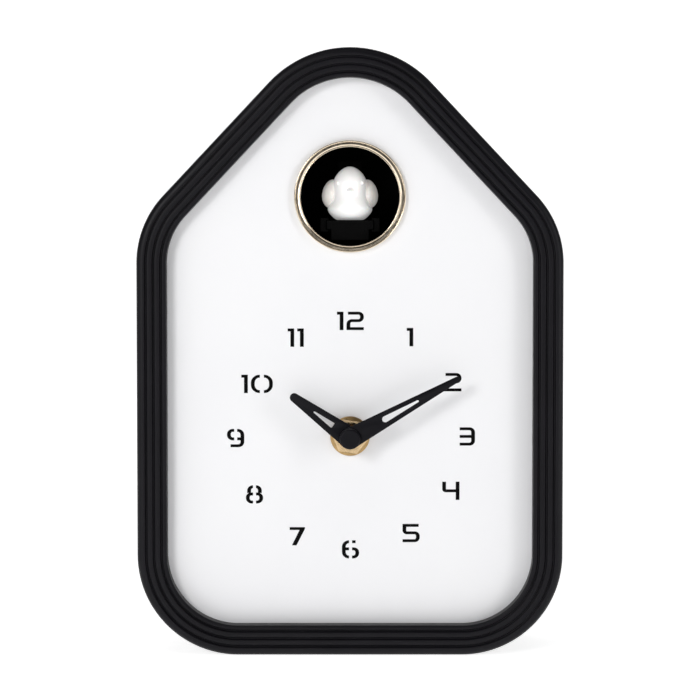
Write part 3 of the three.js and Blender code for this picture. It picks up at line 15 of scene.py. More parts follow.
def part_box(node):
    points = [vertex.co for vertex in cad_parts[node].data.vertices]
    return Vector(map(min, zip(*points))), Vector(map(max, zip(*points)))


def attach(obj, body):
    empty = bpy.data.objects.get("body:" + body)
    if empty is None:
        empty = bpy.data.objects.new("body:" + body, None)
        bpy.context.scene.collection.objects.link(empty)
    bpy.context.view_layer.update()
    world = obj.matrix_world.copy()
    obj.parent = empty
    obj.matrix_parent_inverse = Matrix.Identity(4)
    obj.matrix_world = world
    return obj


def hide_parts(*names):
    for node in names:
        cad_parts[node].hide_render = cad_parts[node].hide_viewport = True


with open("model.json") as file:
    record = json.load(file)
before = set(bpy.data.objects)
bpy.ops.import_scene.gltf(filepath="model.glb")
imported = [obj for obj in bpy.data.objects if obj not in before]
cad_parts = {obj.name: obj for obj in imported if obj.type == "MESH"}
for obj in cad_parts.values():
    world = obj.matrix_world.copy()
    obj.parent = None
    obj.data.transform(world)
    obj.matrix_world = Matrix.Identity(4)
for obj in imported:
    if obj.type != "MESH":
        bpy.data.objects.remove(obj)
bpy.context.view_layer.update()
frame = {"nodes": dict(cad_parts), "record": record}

MM = 0.001
TAU = 2 * math.pi

# ------------------------------------------------------------------ sizes from the frame

shell_low, shell_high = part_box("case_shell")
FRONT_Y = shell_low.y
CASE_WIDTH = (shell_high.x - shell_low.x) / MM
CASE_HEIGHT = shell_high.z / MM
CASE_DEPTH = (shell_high.y - shell_low.y) / MM


def depth_of(node, end):
    """Depth in mm of a CAD node's front (end 0) or back (end 1)."""
    return (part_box(node)[end].y - FRONT_Y) / MM


def middle_of(node):
    """X and Z in mm of the middle of a CAD node."""
    low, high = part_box(node)
    return (low.x + high.x) / 2 / MM, (low.z + high.z) / 2 / MM


def radius_of(node):
    """Half the width in mm of a round CAD node."""
    low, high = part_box(node)
    return (high.x - low.x) / 2 / MM


DIAL_FACE = depth_of("dial_plate", 0)
DIAL_BACK = depth_of("dial_plate", 1)
HANDS_Z = middle_of("bushing_washer")[1]
WINDOW_Z = middle_of("window_ring")[1]
TRAY_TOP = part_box("bird_body")[0].z / MM - 0.3

# Shape of the house outline, as on the CAD shell
ROOF_PITCH = math.radians(46.8)
APEX_RADIUS = 41.2
EAVES_RADIUS = 36.4
FOOT_RADIUS = 37.5
WALL = 2.5
BEZEL_WIDTH = 11.1
EDGE_ROUND = 2.4
FIRST_GROOVE = 3.4
RIB_PITCH = 2.8
RIB_COUNT = 3
RIB_STEP = 0.35
GROOVE_WIDTH = 0.75
GROOVE_DEPTH = 1.0
RIB_ROUND = 0.38


def point(x, depth, z):
    return Vector((x * MM, FRONT_Y + depth * MM, z * MM))


# ------------------------------------------------------------------ materials


def new_material(name, color, roughness, metallic=0.0, specular=0.5):
    material = bpy.data.materials.new(name)
    material.use_nodes = True
    shader = material.node_tree.nodes["Principled BSDF"]
    shader.inputs["Base Color"].default_value = (*color, 1)
    shader.inputs["Roughness"].default_value = roughness
    shader.inputs["Metallic"].default_value = metallic
    shader.inputs["Specular IOR Level"].default_value = specular
    return material, shader


def object_noise(material, scale, detail=3.0, stretch=(1, 1, 1)):
    """A noise in object space, with an optional stretch."""
    nodes, links = material.node_tree.nodes, material.node_tree.links
    place = nodes.new("ShaderNodeTexCoord")
    mapping = nodes.new("ShaderNodeMapping")
    mapping.inputs["Scale"].default_value = stretch
    noise = nodes.new("ShaderNodeTexNoise")
    noise.inputs["Scale"].default_value = scale
    noise.inputs["Detail"].default_value = detail
    links.new(place.outputs["Object"], mapping.inputs["Vector"])
    links.new(mapping.outputs["Vector"], noise.inputs["Vector"])
    return noise


def add_bump(material, shader, noise, distance, strength=1.0):
    bump = material.node_tree.nodes.new("ShaderNodeBump")
    bump.inputs["Distance"].default_value = distance
    bump.inputs["Strength"].default_value = strength
    material.node_tree.links.new(noise.outputs[0], bump.inputs["Height"])
    material.node_tree.links.new(bump.outputs["Normal"], shader.inputs["Normal"])
    return bump


def vary(material, shader, noise, socket, low, high):
    """Drives a number socket between two values with a noise."""
    spread = material.node_tree.nodes.new("ShaderNodeMapRange")
    spread.inputs["From Min"].default_value = 0.3
    spread.inputs["From Max"].default_value = 0.7
    spread.inputs["To Min"].default_value = low
    spread.inputs["To Max"].default_value = high
    material.node_tree.links.new(noise.outputs[0], spread.inputs["Value"])
    material.node_tree.links.new(spread.outputs["Result"], shader.inputs[socket])


def vary_color(material, shader, noise, first, second):
    ramp = material.node_tree.nodes.new("ShaderNodeValToRGB")
    ramp.color_ramp.elements[0].position = 0.35
    ramp.color_ramp.elements[0].color = (*first, 1)
    ramp.color_ramp.elements[1].position = 0.65
    ramp.color_ramp.elements[1].color = (*second, 1)
    material.node_tree.links.new(noise.outputs[0], ramp.inputs["Fac"])
    material.node_tree.links.new(ramp.outputs["Color"], shader.inputs["Base Color"])


def scaled(color, factor):
    return tuple(min(1.0, channel * factor) for channel in color)


def moulded_plastic(name, color, roughness, grain=3500, grain_depth=0.00002, specular=0.5, change=0.12):
    """Moulded plastic: a fine spark-eroded grain, cloudy gloss and a slight change of colour."""
    material, shader = new_material(name, color, roughness, specular=specular)
    cloud = object_noise(material, 60, 4)
    vary_color(material, shader, cloud, scaled(color, 1 - change), scaled(color, 1 + change))
    smear = object_noise(material, 150, 5)
    vary(material, shader, smear, "Roughness", roughness * 0.9, roughness * 1.1)
    add_bump(material, shader, object_noise(material, grain, 2), grain_depth)
    return material


def case_black():
    color = (0.0050, 0.0046, 0.0066)
    return moulded_plastic("case_black", color, 0.4, grain=5200, grain_depth=0.000006, specular=0.165)


def dial_white():
    material, shader = new_material("dial_white", (0.90, 0.90, 0.915), 0.42, specular=0.3)
    vary_color(material, shader, object_noise(material, 22, 2), (0.892, 0.892, 0.908), (0.905, 0.905, 0.918))
    vary(material, shader, object_noise(material, 90, 4), "Roughness", 0.38, 0.46)
    add_bump(material, shader, object_noise(material, 4200, 2), 0.000004)
    return material


def dial_ink():
    material, shader = new_material("dial_ink", (0.0012, 0.0009, 0.0009), 0.5, specular=0.06)
    vary(material, shader, object_noise(material, 2500, 2), "Roughness", 0.32, 0.5)
    add_bump(material, shader, object_noise(material, 6000, 2), 0.000006)
    return material


def ring_champagne():
    color = (0.80, 0.69, 0.54)
    material, shader = new_material("ring_champagne", color, 0.14, metallic=1.0)
    vary_color(material, shader, object_noise(material, 300, 3), scaled(color, 0.95), scaled(color, 1.03))
    vary(material, shader, object_noise(material, 900, 4), "Roughness", 0.11, 0.2)
    add_bump(material, shader, object_noise(material, 2600, 3), 0.000002)
    return material


def bird_paint(name, color):
    material, shader = new_material(name, color, 0.22, specular=0.5)
    shader.inputs["Coat Weight"].default_value = 0.35
    shader.inputs["Coat Roughness"].default_value = 0.08
    shader.inputs["Subsurface Weight"].default_value = 0.12
    shader.inputs["Subsurface Scale"].default_value = 0.002
    # Emission is painted light: a glow that lifts the bird and wings as if more light reached them inside the
    # window. The real paint does not glow.
    shader.inputs["Emission Color"].default_value = (*color, 1)
    shader.inputs["Emission Strength"].default_value = 0.27
    vary_color(material, shader, object_noise(material, 180, 3), scaled(color, 0.975), scaled(color, 1.01))
    vary(material, shader, object_noise(material, 420, 3), "Roughness", 0.18, 0.28)
    add_bump(material, shader, object_noise(material, 900, 2), 0.00001, 0.5)
    return material


def bird_white():
    return bird_paint("bird_white", (0.90, 0.90, 0.895))


def wing_cream():
    return bird_paint("wing_cream", (0.89, 0.865, 0.83))


def inner_black():
    color = (0.0010, 0.0010, 0.0011)
    return moulded_plastic("inner_black", color, 0.7, grain=3000, grain_depth=0.00001, specular=0.06)


def cover_black():
    color = (0.014, 0.0145, 0.016)
    return moulded_plastic("cover_black", color, 0.5, grain=2400, grain_depth=0.00003, specular=0.45)


def movement_grey():
    return moulded_plastic("movement_grey", (0.05, 0.055, 0.06), 0.5, grain=2600, grain_depth=0.00002)


def acetal_natural():
    color = (0.80, 0.78, 0.71)
    return moulded_plastic("acetal_natural", color, 0.38, grain=1800, grain_depth=0.000008, change=0.04)


def turned_metal(name, color, roughness, centre, rings=9000):
    """Turned metal: fine concentric tool marks about an axis along Y, and a little staining."""
    material, shader = new_material(name, color, roughness, metallic=1.0)
    nodes, links = material.node_tree.nodes, material.node_tree.links
    place = nodes.new("ShaderNodeTexCoord")
    mapping = nodes.new("ShaderNodeMapping")
    mapping.inputs["Location"].default_value = (-centre[0] * MM, 0, -centre[1] * MM)
    wave = nodes.new("ShaderNodeTexWave")
    wave.wave_type = "RINGS"
    wave.rings_direction = "Y"
    wave.inputs["Scale"].default_value = rings / 20
    wave.inputs["Distortion"].default_value = 0.6
    wave.inputs["Detail"].default_value = 2
    links.new(place.outputs["Object"], mapping.inputs["Vector"])
    links.new(mapping.outputs["Vector"], wave.inputs["Vector"])
    stain = object_noise(material, 260, 4)
    vary_color(material, shader, stain, scaled(color, 0.86), scaled(color, 1.08))
    vary(material, shader, object_noise(material, 700, 4), "Roughness", roughness * 0.8, roughness * 1.3)
    tool = nodes.new("ShaderNodeBump")
    tool.inputs["Distance"].default_value = 0.000006
    tool.inputs["Strength"].default_value = 0.4
    links.new(wave.outputs["Fac"], tool.inputs["Height"])
    links.new(tool.outputs["Normal"], shader.inputs["Normal"])
    return material


def brass_turned():
    return turned_metal("brass_turned", (0.64, 0.47, 0.27), 0.2, (0, HANDS_Z))


# A darker copy of the turned brass: painted shade, so the washer reads darker than the nut, which is the same
# brass.
def washer_brass():
    return turned_metal("washer_brass", (0.42, 0.28, 0.125), 0.32, (0, HANDS_Z))


def plated_steel(name="steel_plated", color=(0.60, 0.61, 0.63), roughness=0.3):
    material, shader = new_material(name, color, roughness, metallic=1.0)
    grain = object_noise(material, 1500, 3, stretch=(0.06, 1, 1))
    vary_color(material, shader, object_noise(material, 220, 4), scaled(color, 0.88), scaled(color, 1.06))
    vary(material, shader, grain, "Roughness", roughness * 0.75, roughness * 1.35)
    add_bump(material, shader, grain, 0.000004)
    return material


def hand_black():
    color = (0.0040, 0.0038, 0.0058)
    return moulded_plastic("hand_black", color, 0.42, grain=6000, grain_depth=0.000005, specular=0.14)


def copper_winding():
    material, shader = new_material("copper_winding", (0.47, 0.17, 0.06), 0.3, metallic=0.85)
    nodes, links = material.node_tree.nodes, material.node_tree.links
    place = nodes.new("ShaderNodeTexCoord")
    wave = nodes.new("ShaderNodeTexWave")
    wave.bands_direction = "X"
    wave.inputs["Scale"].default_value = 900
    links.new(place.outputs["Object"], wave.inputs["Vector"])
    turns = nodes.new("ShaderNodeBump")
    turns.inputs["Distance"].default_value = 0.0001
    links.new(wave.outputs["Fac"], turns.inputs["Height"])
    links.new(turns.outputs["Normal"], shader.inputs["Normal"])
    vary_color(material, shader, object_noise(material, 500, 3), (0.40, 0.14, 0.05), (0.55, 0.22, 0.08))
    return material


def gasket_rubber():
    color = (0.018, 0.018, 0.018)
    return moulded_plastic("gasket_rubber", color, 0.8, grain=2200, grain_depth=0.00004, specular=0.25)


def board_green():
    material, shader = new_material("board_green", (0.015, 0.12, 0.05), 0.3, specular=0.5)
    shader.inputs["Coat Weight"].default_value = 0.3
    traces = object_noise(material, 420, 1, stretch=(1, 1, 0.25))
    vary_color(material, shader, traces, (0.010, 0.085, 0.035), (0.03, 0.19, 0.08))
    add_bump(material, shader, traces, 0.00003)
    return material


def cone_paper():
    material, shader = new_material("cone_paper", (0.03, 0.03, 0.032), 0.85, specular=0.2)
    fibre = object_noise(material, 1300, 6, stretch=(1, 1, 0.4))
    vary_color(material, shader, fibre, (0.02, 0.02, 0.022), (0.045, 0.045, 0.048))
    add_bump(material, shader, fibre, 0.00008)
    return material


def battery_jacket():
    """A dark blue film whose tone changes a little in clouds, under a clear coat."""
    material, shader = new_material("battery_jacket", (0.03, 0.08, 0.22), 0.25, metallic=0.35)
    shader.inputs["Coat Weight"].default_value = 0.5
    vary_color(material, shader, object_noise(material, 160, 3), (0.025, 0.07, 0.2), (0.035, 0.09, 0.25))
    add_bump(material, shader, object_noise(material, 500, 3), 0.00001)
    return material


def lead_cover(name, color):
    return moulded_plastic(name, color, 0.45, grain=3000, grain_depth=0.00001)


def lead_red():
    return lead_cover("lead_red", (0.42, 0.02, 0.02))


def lead_black():
    return lead_cover("lead_black", (0.02, 0.02, 0.021))


MATERIAL_MAKERS = [
    case_black, dial_white, ring_champagne, inner_black, cover_black, movement_grey, bird_white, wing_cream,
    brass_turned, hand_black, copper_winding, gasket_rubber, acetal_natural, board_green, cone_paper,
    battery_jacket, lead_red, lead_black,
]
MATERIALS = {maker.__name__: maker() for maker in MATERIAL_MAKERS}
MATERIALS["steel_plated"] = plated_steel()
INK = dial_ink()
WASHER_BRASS_PAINTED_SHADE = washer_brass()


def dress_cad_nodes():
    """Every CAD node takes the procedural material of its slot."""
    for entry in frame["record"]["subparts"]:
        node = frame["nodes"][entry["node"]]
        node.data.materials.clear()
        node.data.materials.append(MATERIALS[entry["material_slot"]])


# ------------------------------------------------------------------ mesh helpers


def finish_piece(name, mesh, body, slot, replaced=(), material=None, sharp=35):
    """Makes a mesh into a piece of the model."""
    piece = bpy.data.objects.new(name, mesh)
    bpy.context.scene.collection.objects.link(piece)
    mesh.materials.clear()
    mesh.materials.append(material or MATERIALS[slot])
    mesh.validate()
    for polygon in mesh.polygons:
        polygon.use_smooth = True
    mesh.set_sharp_from_angle(angle=math.radians(sharp))
    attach(piece, body)
    if replaced:
        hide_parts(*replaced)
    return piece


def mesh_from(name, vertices, faces):
    """A mesh with its faces turned outwards."""
    mesh = bpy.data.meshes.new(name)
    mesh.from_pydata([tuple(v) for v in vertices], [], faces)
    shape = bmesh.new()
    shape.from_mesh(mesh)
    bmesh.ops.remove_doubles(shape, verts=shape.verts, dist=1e-7)
    bmesh.ops.dissolve_degenerate(shape, edges=shape.edges, dist=1e-7)
    bmesh.ops.recalc_face_normals(shape, faces=shape.faces)
    shape.to_mesh(mesh)
    shape.free()
    return mesh


def loft(rings, closed_rings=True, closed_loft=False, caps=True):
    """Vertices and faces of rings of points joined one to the next."""
    vertices = [p for ring in rings for p in ring]
    count = len(rings[0])
    faces = []
    last = len(rings) if closed_loft else len(rings) - 1
    for j in range(last):
        following = (j + 1) % len(rings)
        for i in range(count if closed_rings else count - 1):
            after = (i + 1) % count
            faces.append((j * count + i, j * count + after, following * count + after, following * count + i))
    if caps and not closed_loft:
        faces.append(tuple(range(count)))
        faces.append(tuple((len(rings) - 1) * count + i for i in range(count)))
    return vertices, faces


def turned(name, profile, x, z, segments=96):
    """A profile of (radius, depth), turned about an axis along Y.

    It closes on itself or starts and ends at radius 0.
    """
    rings = []
    for radius, depth in profile:
        ring = []
        for i in range(segments):
            angle = TAU * i / segments
            ring.append(point(x + radius * math.cos(angle), depth, z + radius * math.sin(angle)))
        rings.append(ring)
    hollow = profile[0][0] > 0
    vertices, faces = loft(rings, closed_loft=hollow, caps=False)
    return mesh_from(name, vertices, faces)


def turned_across(name, profile, depth, z, segments=48):
    """A profile of (radius, x), turned about an axis along X."""
    rings = []
    for radius, x in profile:
        ring = []
        for i in range(segments):
            angle = TAU * i / segments
            ring.append(point(x, depth + radius * math.cos(angle), z + radius * math.sin(angle)))
        rings.append(ring)
    hollow = profile[0][0] > 0
    vertices, faces = loft(rings, closed_loft=hollow, caps=False)
    return mesh_from(name, vertices, faces)


def arc(cx, cy, radius, start, end, steps):
    """Points on an arc; angles in degrees."""
    angles = [math.radians(start + (end - start) * i / steps) for i in range(steps + 1)]
    return [(cx + radius * math.cos(a), cy + radius * math.sin(a)) for a in angles]


def joined_mesh(name, meshes):
    shape = bmesh.new()
    for mesh in meshes:
        shape.from_mesh(mesh)
    mesh = bpy.data.meshes.new(name)
    shape.to_mesh(mesh)
    shape.free()
    return mesh


def flat_mesh(name, loops, front_depth, back_depth, edge=0.15, edge_steps=3):
    """A flat plate with rounded edges, from closed loops of (x, z).

    The first loop is the outline, and the others are holes.
    """
    curve = bpy.data.curves.new(name, "CURVE")
    curve.dimensions = "2D"
    curve.fill_mode = "BOTH"
    curve.bevel_depth = edge * MM
    curve.bevel_resolution = edge_steps - 1
    curve.extrude = (back_depth - front_depth) / 2 * MM - edge * MM
    curve.offset = -edge * MM
    for loop in loops:
        spline = curve.splines.new("POLY")
        spline.points.add(len(loop) - 1)
        for spot, (x, z) in zip(spline.points, loop):
            spot.co = (x * MM, z * MM, 0, 1)
        spline.use_cyclic_u = True
    holder = bpy.data.objects.new(name, curve)
    bpy.context.scene.collection.objects.link(holder)
    bpy.context.view_layer.update()
    evaluated = holder.evaluated_get(bpy.context.evaluated_depsgraph_get())
    mesh = bpy.data.meshes.new_from_object(evaluated)
    bpy.data.objects.remove(holder)
    bpy.data.curves.remove(curve)
    middle = FRONT_Y + (front_depth + back_depth) / 2 * MM
    mesh.transform(Matrix.Translation((0, middle, 0)) @ Matrix.Rotation(math.pi / 2, 4, "X"))
    shape = bmesh.new()
    shape.from_mesh(mesh)
    bmesh.ops.remove_doubles(shape, verts=shape.verts, dist=1e-7)
    bmesh.ops.recalc_face_normals(shape, faces=shape.faces)
    shape.to_mesh(mesh)
    shape.free()
    return mesh


def smooth_curve(points, t):
    """Catmull-Rom value at t through (t, value) points."""
    for k in range(len(points) - 1):
        if t <= points[k + 1][0] or k == len(points) - 2:
            break
    (t0, v0), (t1, v1) = points[k], points[k + 1]
    before = points[max(k - 1, 0)]
    after = points[min(k + 2, len(points) - 1)]
    slope0 = (v1 - before[1]) / max(t1 - before[0], 1e-9)
    slope1 = (after[1] - v0) / max(after[0] - t0, 1e-9)
    span = t1 - t0
    s = (t - t0) / span
    return (
        (2 * s**3 - 3 * s**2 + 1) * v0
        + (s**3 - 2 * s**2 + s) * span * slope0
        + (-2 * s**3 + 3 * s**2) * v1
        + (s**3 - s**2) * span * slope1
    )


# ------------------------------------------------------------------ the house outline


def house_corners():
    """Corner rounds, clockwise from the front: centre, radius, first and last angle, steps."""
    apex = CASE_HEIGHT - APEX_RADIUS
    eaves_x = CASE_WIDTH / 2 - EAVES_RADIUS
    rise = apex * math.cos(ROOF_PITCH) + APEX_RADIUS - EAVES_RADIUS - eaves_x * math.sin(ROOF_PITCH)
    eaves = rise / math.cos(ROOF_PITCH)
    foot_x = CASE_WIDTH / 2 - FOOT_RADIUS
    quarter = math.pi / 2
    return [
        (0, apex, APEX_RADIUS, quarter + ROOF_PITCH, quarter - ROOF_PITCH, 56),
        (eaves_x, eaves, EAVES_RADIUS, quarter - ROOF_PITCH, 0, 28),
        (foot_x, FOOT_RADIUS, FOOT_RADIUS, 0, -quarter, 48),
        (-foot_x, FOOT_RADIUS, FOOT_RADIUS, -quarter, -2 * quarter, 48),
        (-eaves_x, eaves, EAVES_RADIUS, -2 * quarter, ROOF_PITCH - 3 * quarter, 28),
    ]


def house_outline(offset):
    """The house outline in mm, moved inwards by an offset."""
    points = []
    for x, z, radius, first, last, steps in house_corners():
        for i in range(steps + 1):
            angle = first + (last - first) * i / steps
            reach = radius - offset
            points.append((x + reach * math.cos(angle), z + reach * math.sin(angle)))
    return points


SHOULDER_TURNS = (0, 0.39, 0.79, 1.18, 1.57)


def groove_points(middle, before, after):
    """A groove of the bezel with rounded shoulders and a rounded bottom."""
    half = GROOVE_WIDTH / 2
    r = RIB_ROUND
    bottom = (before + after) / 2 + GROOVE_DEPTH
    left = [(middle - half - r + r * math.sin(a), before + r - r * math.cos(a)) for a in SHOULDER_TURNS]
    floor = [(middle + half * s, bottom + 0.25 * math.sqrt(1 - s * s) - 0.25) for s in (-1, -0.7, 0, 0.7, 1)]
    right = [(middle + half + r - r * math.sin(a), after + r - r * math.cos(a)) for a in SHOULDER_TURNS[::-1]]
    return left + floor + right


def bezel_profile():
    back = CASE_DEPTH
    profile = [(WALL + 0.4, back), (0.6, back), (0.18, back - 0.18), (0, back - 0.6)]
    profile += [(0, EDGE_ROUND + share * (back - 0.6 - EDGE_ROUND)) for share in (0.75, 0.5, 0.25)]
    profile += [
        (EDGE_ROUND - EDGE_ROUND * math.cos(a), EDGE_ROUND - EDGE_ROUND * math.sin(a))
        for a in [math.pi / 2 * i / 10 for i in range(11)]
    ]
    for rib in range(RIB_COUNT):
        top = rib * RIB_STEP
        profile += groove_points(FIRST_GROOVE + rib * RIB_PITCH, top, top + RIB_STEP)
    top = RIB_COUNT * RIB_STEP
    r = 0.5
    profile += [(BEZEL_WIDTH - r + r * math.sin(a), top + r - r * math.cos(a)) for a in SHOULDER_TURNS[1:]]
    lip = DIAL_FACE - 0.05
    profile += [(BEZEL_WIDTH, lip), (WALL, lip), (WALL, back - 0.4)]
    return profile


def case_shell():
    rings = []
    for offset, depth in bezel_profile():
        rings.append([point(x, depth, z) for x, z in house_outline(offset)])
    vertices, faces = loft(rings, closed_loft=True)
    ring_mesh = mesh_from("case_shell_ring", vertices, faces)
    bosses = [boss_mesh(i) for i in range(1, 5)]
    mesh = joined_mesh("case_shell_fine", [ring_mesh] + bosses)
    return finish_piece("case_shell_fine", mesh, "case", "case_black", ["case_shell"], sharp=50)


def boss_mesh(number):
    """The screw boss behind a cover screw."""
    x, z = middle_of(f"cover_screw_{number}")
    front = DIAL_BACK - 2
    back = depth_of("back_cover", 0) - 0.3
    profile = [(1.3, front), (3.8, front), (3.8, back - 0.3), (3.5, back), (1.7, back), (1.3, back - 0.4)]
    return turned(f"boss_{number}", profile, x, z, 32)


# ------------------------------------------------------------------ numerals

NUMERAL_HEIGHT = 6.85
UPRIGHT = 1.4
LEVEL = 1.08
# Middle of each numeral from the hands' axis
NUMERAL_PLACES = {
    1: (22.4, 37.0), 2: (38.4, 20.15), 3: (43.8, -0.2), 4: (37.75, -20.6),
    5: (22.9, -36.5), 6: (0.2, -42.65), 7: (-19.75, -37.7), 8: (-35.75, -21.95),
    9: (-42.75, -0.8), 10: (-34.7, 19.5), 11: (-20.25, 36.8), 12: (0.15, 43.05),
}
PRINT_THICKNESS = 0.06


def rounded_path(corners, steps=6):
    """A path through (x, z, radius) corners with each corner rounded."""
    path = [Vector(corners[0][:2])]
    for before, corner, after in zip(corners, corners[1:], corners[2:]):
        spot, radius = Vector(corner[:2]), corner[2]
        if radius <= 0:
            path.append(spot)
            continue
        into = (Vector(before[:2]) - spot).normalized() * radius
        out = (Vector(after[:2]) - spot).normalized() * radius
        for i in range(steps + 1):
            t = i / steps
            angle = math.pi / 2 * t
            path.append(spot + into * (1 - math.sin(angle)) + out * (1 - math.cos(angle)))
    path.append(Vector(corners[-1][:2]))
    return path


def stroke(corners):
    """A pen stroke along a path: uprights are wider than level bars. Returns its two edges."""
    path = rounded_path(corners)
    left, right = [], []
    for i, spot in enumerate(path):
        normals = []
        for a, b in ((i - 1, i), (i, i + 1)):
            if a >= 0 and b < len(path):
                along = path[b] - path[a]
                if along.length > 1e-6:
                    along.normalize()
                    normals.append(Vector((-along.y, along.x)))
        normal = sum(normals, Vector((0, 0)))
        if len(normals) == 2 and normals[0].dot(normals[1]) > 0.5:
            normal = normal.normalized()
        side = Vector((normal.x * UPRIGHT / 2, normal.y * LEVEL / 2))
        left.append(spot + side)
        right.append(spot - side)
    return left, right


def digit_strokes(digit):
    """Strokes of a digit about its own middle, and its width."""
    top = NUMERAL_HEIGHT / 2 - LEVEL / 2
    upright = UPRIGHT / 2
    level = LEVEL / 2
    gap = 0.56
    side = 2.52
    end = side + upright
    if digit == "1":
        return [[(-1.22, top, 0), (0.0, top, 0)], [(0.5, top + level, 0), (0.5, -top - level, 0)]], 2.42
    if digit == "2":
        r = 1.25
        turns = [(-end + 0.5, top, 0), (side, top, r), (side, 0.1, r)]
        turns += [(-side, 0.1, r), (-side, -top, 0), (end, -top, 0)]
        return [turns], 2 * end
    if digit == "3":
        r = 1.3
        outer = [(-2.8, top, 0), (side - 0.3, top, r), (side - 0.3, -top, r), (-2.8, -top, 0)]
        return [outer, [(-2.8, 0, 0), (side - 0.3 - upright, 0, 0)]], 5.7
    if digit == "4":
        left = [(-side, top + level, 0), (-side, 0, 0.6), (side - upright, 0, 0)]
        return [left, [(side, top + level, 0), (side, -top - level, 0)]], 2 * end
    if digit == "5":
        r = 1.2
        turns = [(end - 0.4, top, 0), (-side, top, 0), (-side, 0.08, 0.9)]
        turns += [(side, 0.08, r), (side, -top, r), (-end, -top, 0)]
        return [turns], 2 * end
    if digit == "6":
        r = 1.9
        left = [(-gap, top, 0), (-side, top, r), (-side, -top, r), (-gap, -top, 0)]
        stub = [(-side + upright, 0.2, 0), (-gap, 0.2, 0)]
        right = [(gap, 0.2, 0), (side, 0.2, 1.3), (side, -top, 1.5), (gap, -top, 0)]
        return [left, stub, [(gap, top, 0), (gap + 1.35, top, 0)], right], 2 * end
    if digit == "8":
        upper = side - 0.5
        strokes = []
        for s in (-1, 1):
            lower = [(s * gap, 0.15, 0), (s * side, 0.15, 1.3), (s * side, -top, 1.5), (s * gap, -top, 0)]
            strokes.append(lower)
            strokes.append([(s * gap, top, 0), (s * upper, top, 1.4), (s * upper, 0.55, 0)])
        return strokes, 2 * end
    if digit == "9":
        left = [(-gap, top, 0), (-side, top, 1.4), (-side, -0.3, 1.4), (-gap, -0.3, 0)]
        right = [(gap, top, 0), (side, top, 1.7), (side, -top, 1.5), (-side + 0.6, -top, 0)]
        stub = [(gap, -0.3, 0), (side - upright, -0.3, 0)]
        return [left, right, stub], 2 * end
    wide, r = 3.4, 2.5
    zero = [
        [(s * 0.75, top, 0), (s * wide, top, r), (s * wide, -top, r), (s * 0.75, -top, 0)]
        for s in (-1, 1)
    ]
    return zero, 2 * (wide + upright)


# The seven's outline about its own middle
SEVEN = [(-2.85, 3.42), (2.9, 3.42), (2.9, 2.85), (-0.3, -3.42), (-2.0, -3.42), (0.85, 2.35), (-2.85, 2.35)]
SEVEN_WIDTH = 5.7


def numeral_shells(text, centre_x, centre_z):
    """Closed thin shells of a numeral, as (vertices, faces)."""
    front, back = DIAL_FACE - PRINT_THICKNESS, DIAL_FACE - 0.004
    drawn = {digit: digit_strokes(digit) for digit in text if digit != "7"}
    widths = {digit: strokes_and_width[1] for digit, strokes_and_width in drawn.items()}
    widths["7"] = SEVEN_WIDTH
    space = 1.15
    total = sum(widths[digit] for digit in text) + space * (len(text) - 1)
    x = centre_x - total / 2
    shells = []
    for digit in text:
        middle = x + widths[digit] / 2
        x += widths[digit] + space
        if digit == "7":
            rings = [[point(middle + u, depth, centre_z + w) for u, w in SEVEN] for depth in (front, back)]
            shells.append(loft(rings))
            continue
        for corners in drawn[digit][0]:
            left, right = stroke(corners)
            rings = []
            for a, b in zip(left, right):
                spots = [(a, front), (b, front), (b, back), (a, back)]
                rings.append([point(middle + s.x, depth, centre_z + s.y) for s, depth in spots])
            shells.append(loft(rings))
    return shells


def dial_numerals():
    vertices, faces = [], []
    for hour in range(1, 13):
        x, height = NUMERAL_PLACES[hour]
        for shell_vertices, shell_faces in numeral_shells(str(hour), x, HANDS_Z + height):
            start = len(vertices)
            vertices += shell_vertices
            faces += [tuple(start + i for i in face) for face in shell_faces]
    mesh = mesh_from("dial_numerals", vertices, faces)
    return finish_piece("dial_numerals", mesh, "case", "hand_black", material=INK, sharp=40)


# ------------------------------------------------------------------ window


def window_ring():
    """A plated ring: outer bead, flat land, sloped step, thin inner bead, and a neck through the dial."""
    outer = radius_of("window_ring")
    inner = outer - 2.4
    top = depth_of("window_ring", 0)
    bead = 0.3
    land = top + 0.42
    profile = [(outer - 0.02, DIAL_FACE - 0.02)]
    profile += arc(outer - bead, top + bead, bead, 0, -180, 12)
    profile += [(outer - 2 * bead, land - 0.05), (outer - 2 * bead - 0.05, land)]
    profile += [(outer - 1.45, land), (outer - 1.52, land + 0.03), (outer - 1.95, land + 0.24)]
    lip = 0.2
    profile += arc(inner + lip, land + 0.05 + lip, lip, -10, -180, 10)
    profile += [(inner, DIAL_BACK), (inner + 1, DIAL_BACK), (inner + 1, DIAL_FACE - 0.02)]
    mesh = turned("window_ring_fine", profile, 0, WINDOW_Z, 160)
    return finish_piece("window_ring_fine", mesh, "case", "ring_champagne", ["window_ring"], sharp=20)


# ------------------------------------------------------------------ bushing, washer and nut


def bushing_washer():
    x, z = 0, HANDS_Z
    front, back = depth_of("bushing_washer", 0), DIAL_FACE - 0.02
    outer = radius_of("bushing_washer")
    edge = 0.25
    profile = [(4.3, back), (4.3, front + 0.1), (4.4, front)]
    profile += [(outer - edge, front), (outer - 0.07, front + 0.07), (outer, front + edge)]
    profile += [(outer, back - 0.15), (outer - 0.15, back)]
    mesh = turned("bushing_washer_fine", profile, x, z, 128)
    return finish_piece("bushing_washer_fine", mesh, "case", "brass_turned", ["bushing_washer"], WASHER_BRASS_PAINTED_SHADE)


